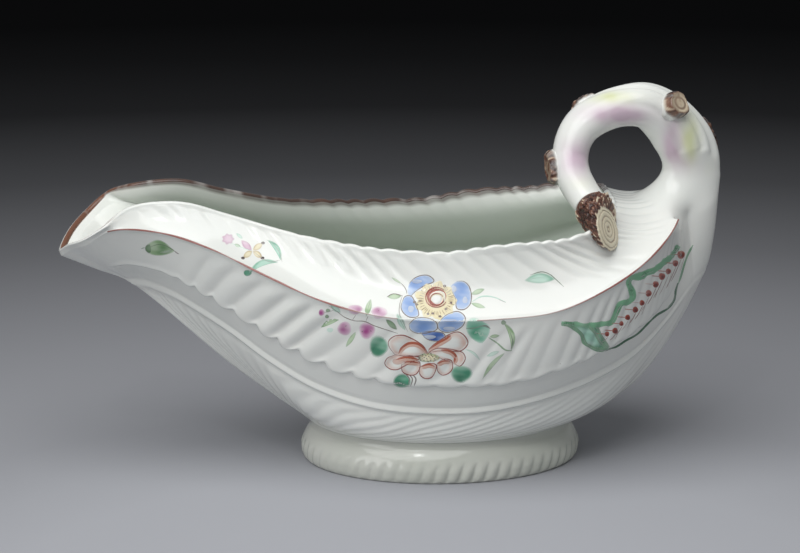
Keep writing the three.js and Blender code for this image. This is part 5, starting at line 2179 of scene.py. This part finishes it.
def dress(piece: bpy.types.Object, finish: Glaze, slot: str, *nodes: str) -> None:
    """Glazes a piece and lets it take its nodes' place.

    Args:
        piece: the piece.
        finish: its glaze.
        slot: the name of a material slot; not used.
        nodes: the nodes that it replaces.
    """
    piece.data.materials.append(finish.material())
    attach(piece, "root")
    if nodes:
        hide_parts(*nodes)
    LOG.info("%s has %d faces", piece.name, len(piece.data.polygons))


def main() -> None:
    """Builds every piece in order."""
    logging.basicConfig(level=logging.INFO, format="%(name)s: %(message)s")
    place = Frame()
    view = View(place)
    view.build()
    Studio().build()
    hull = Hull()
    bowl = LeafBowl(hull)
    stalk = StalkHandle(hull, view)
    skin = Skin()
    seat = bowl.add_to(skin)
    stalk.add_to(skin, seat, place.offset)
    bowl_piece, stalk_piece = skin.build(["bowl_body", "stalk"], place.offset, bowl.corner())
    # the foot's glaze is darker than the body's as painted shade under the overhanging hull
    foot_glaze = Glaze("foot_glaze", colour=(0.58, 0.59, 0.54), cool=(0.54, 0.56, 0.5), roughness=(0.07, 0.14))
    bark = Glaze("bark", colour=(0.12, 0.05, 0.03), cool=(0.1, 0.04, 0.025), roughness=(0.22, 0.4),
                 unevenness=0.5)
    stump = Glaze("stump_bark", roughness=(0.18, 0.34), unevenness=0.35)
    twigs = (
        Twig("twig_top", stalk, 0.27, 46, (4.0, 3.7), 2.5, 0.25),
        Twig("twig_back", stalk, 0.125, -30, (6, 3.6), 1.7, 0.5),
        Twig("twig_front", stalk, 0.79, 12, (5.4, 3.1), 1.6, 0.75),
        Twig("twig_crown", stalk, 0.52, -58, (4.4, 3.2), 1.6, 0.6),
    )
    dress(bowl_piece, Glaze("glaze"), "glaze", "leaf_bowl")
    dress(stalk_piece, Glaze("stalk_glaze"), "stalk_glaze", "stalk_handle")
    dress(Foot().build(place.offset), foot_glaze, "foot_glaze", "foot_ring")
    dress(BranchEnd(stalk).build(place.offset), bark, "bark", "branch_end")
    for twig in twigs:
        dress(twig.build(place.offset), stump, "bark", twig.name)
    enamel = Painting(bowl, view).build(bowl_piece.data, place.offset)
    dress(enamel, Glaze("enamel", roughness=(0.12, 0.22)), "glaze")


if __name__ == "__main__":
    main()
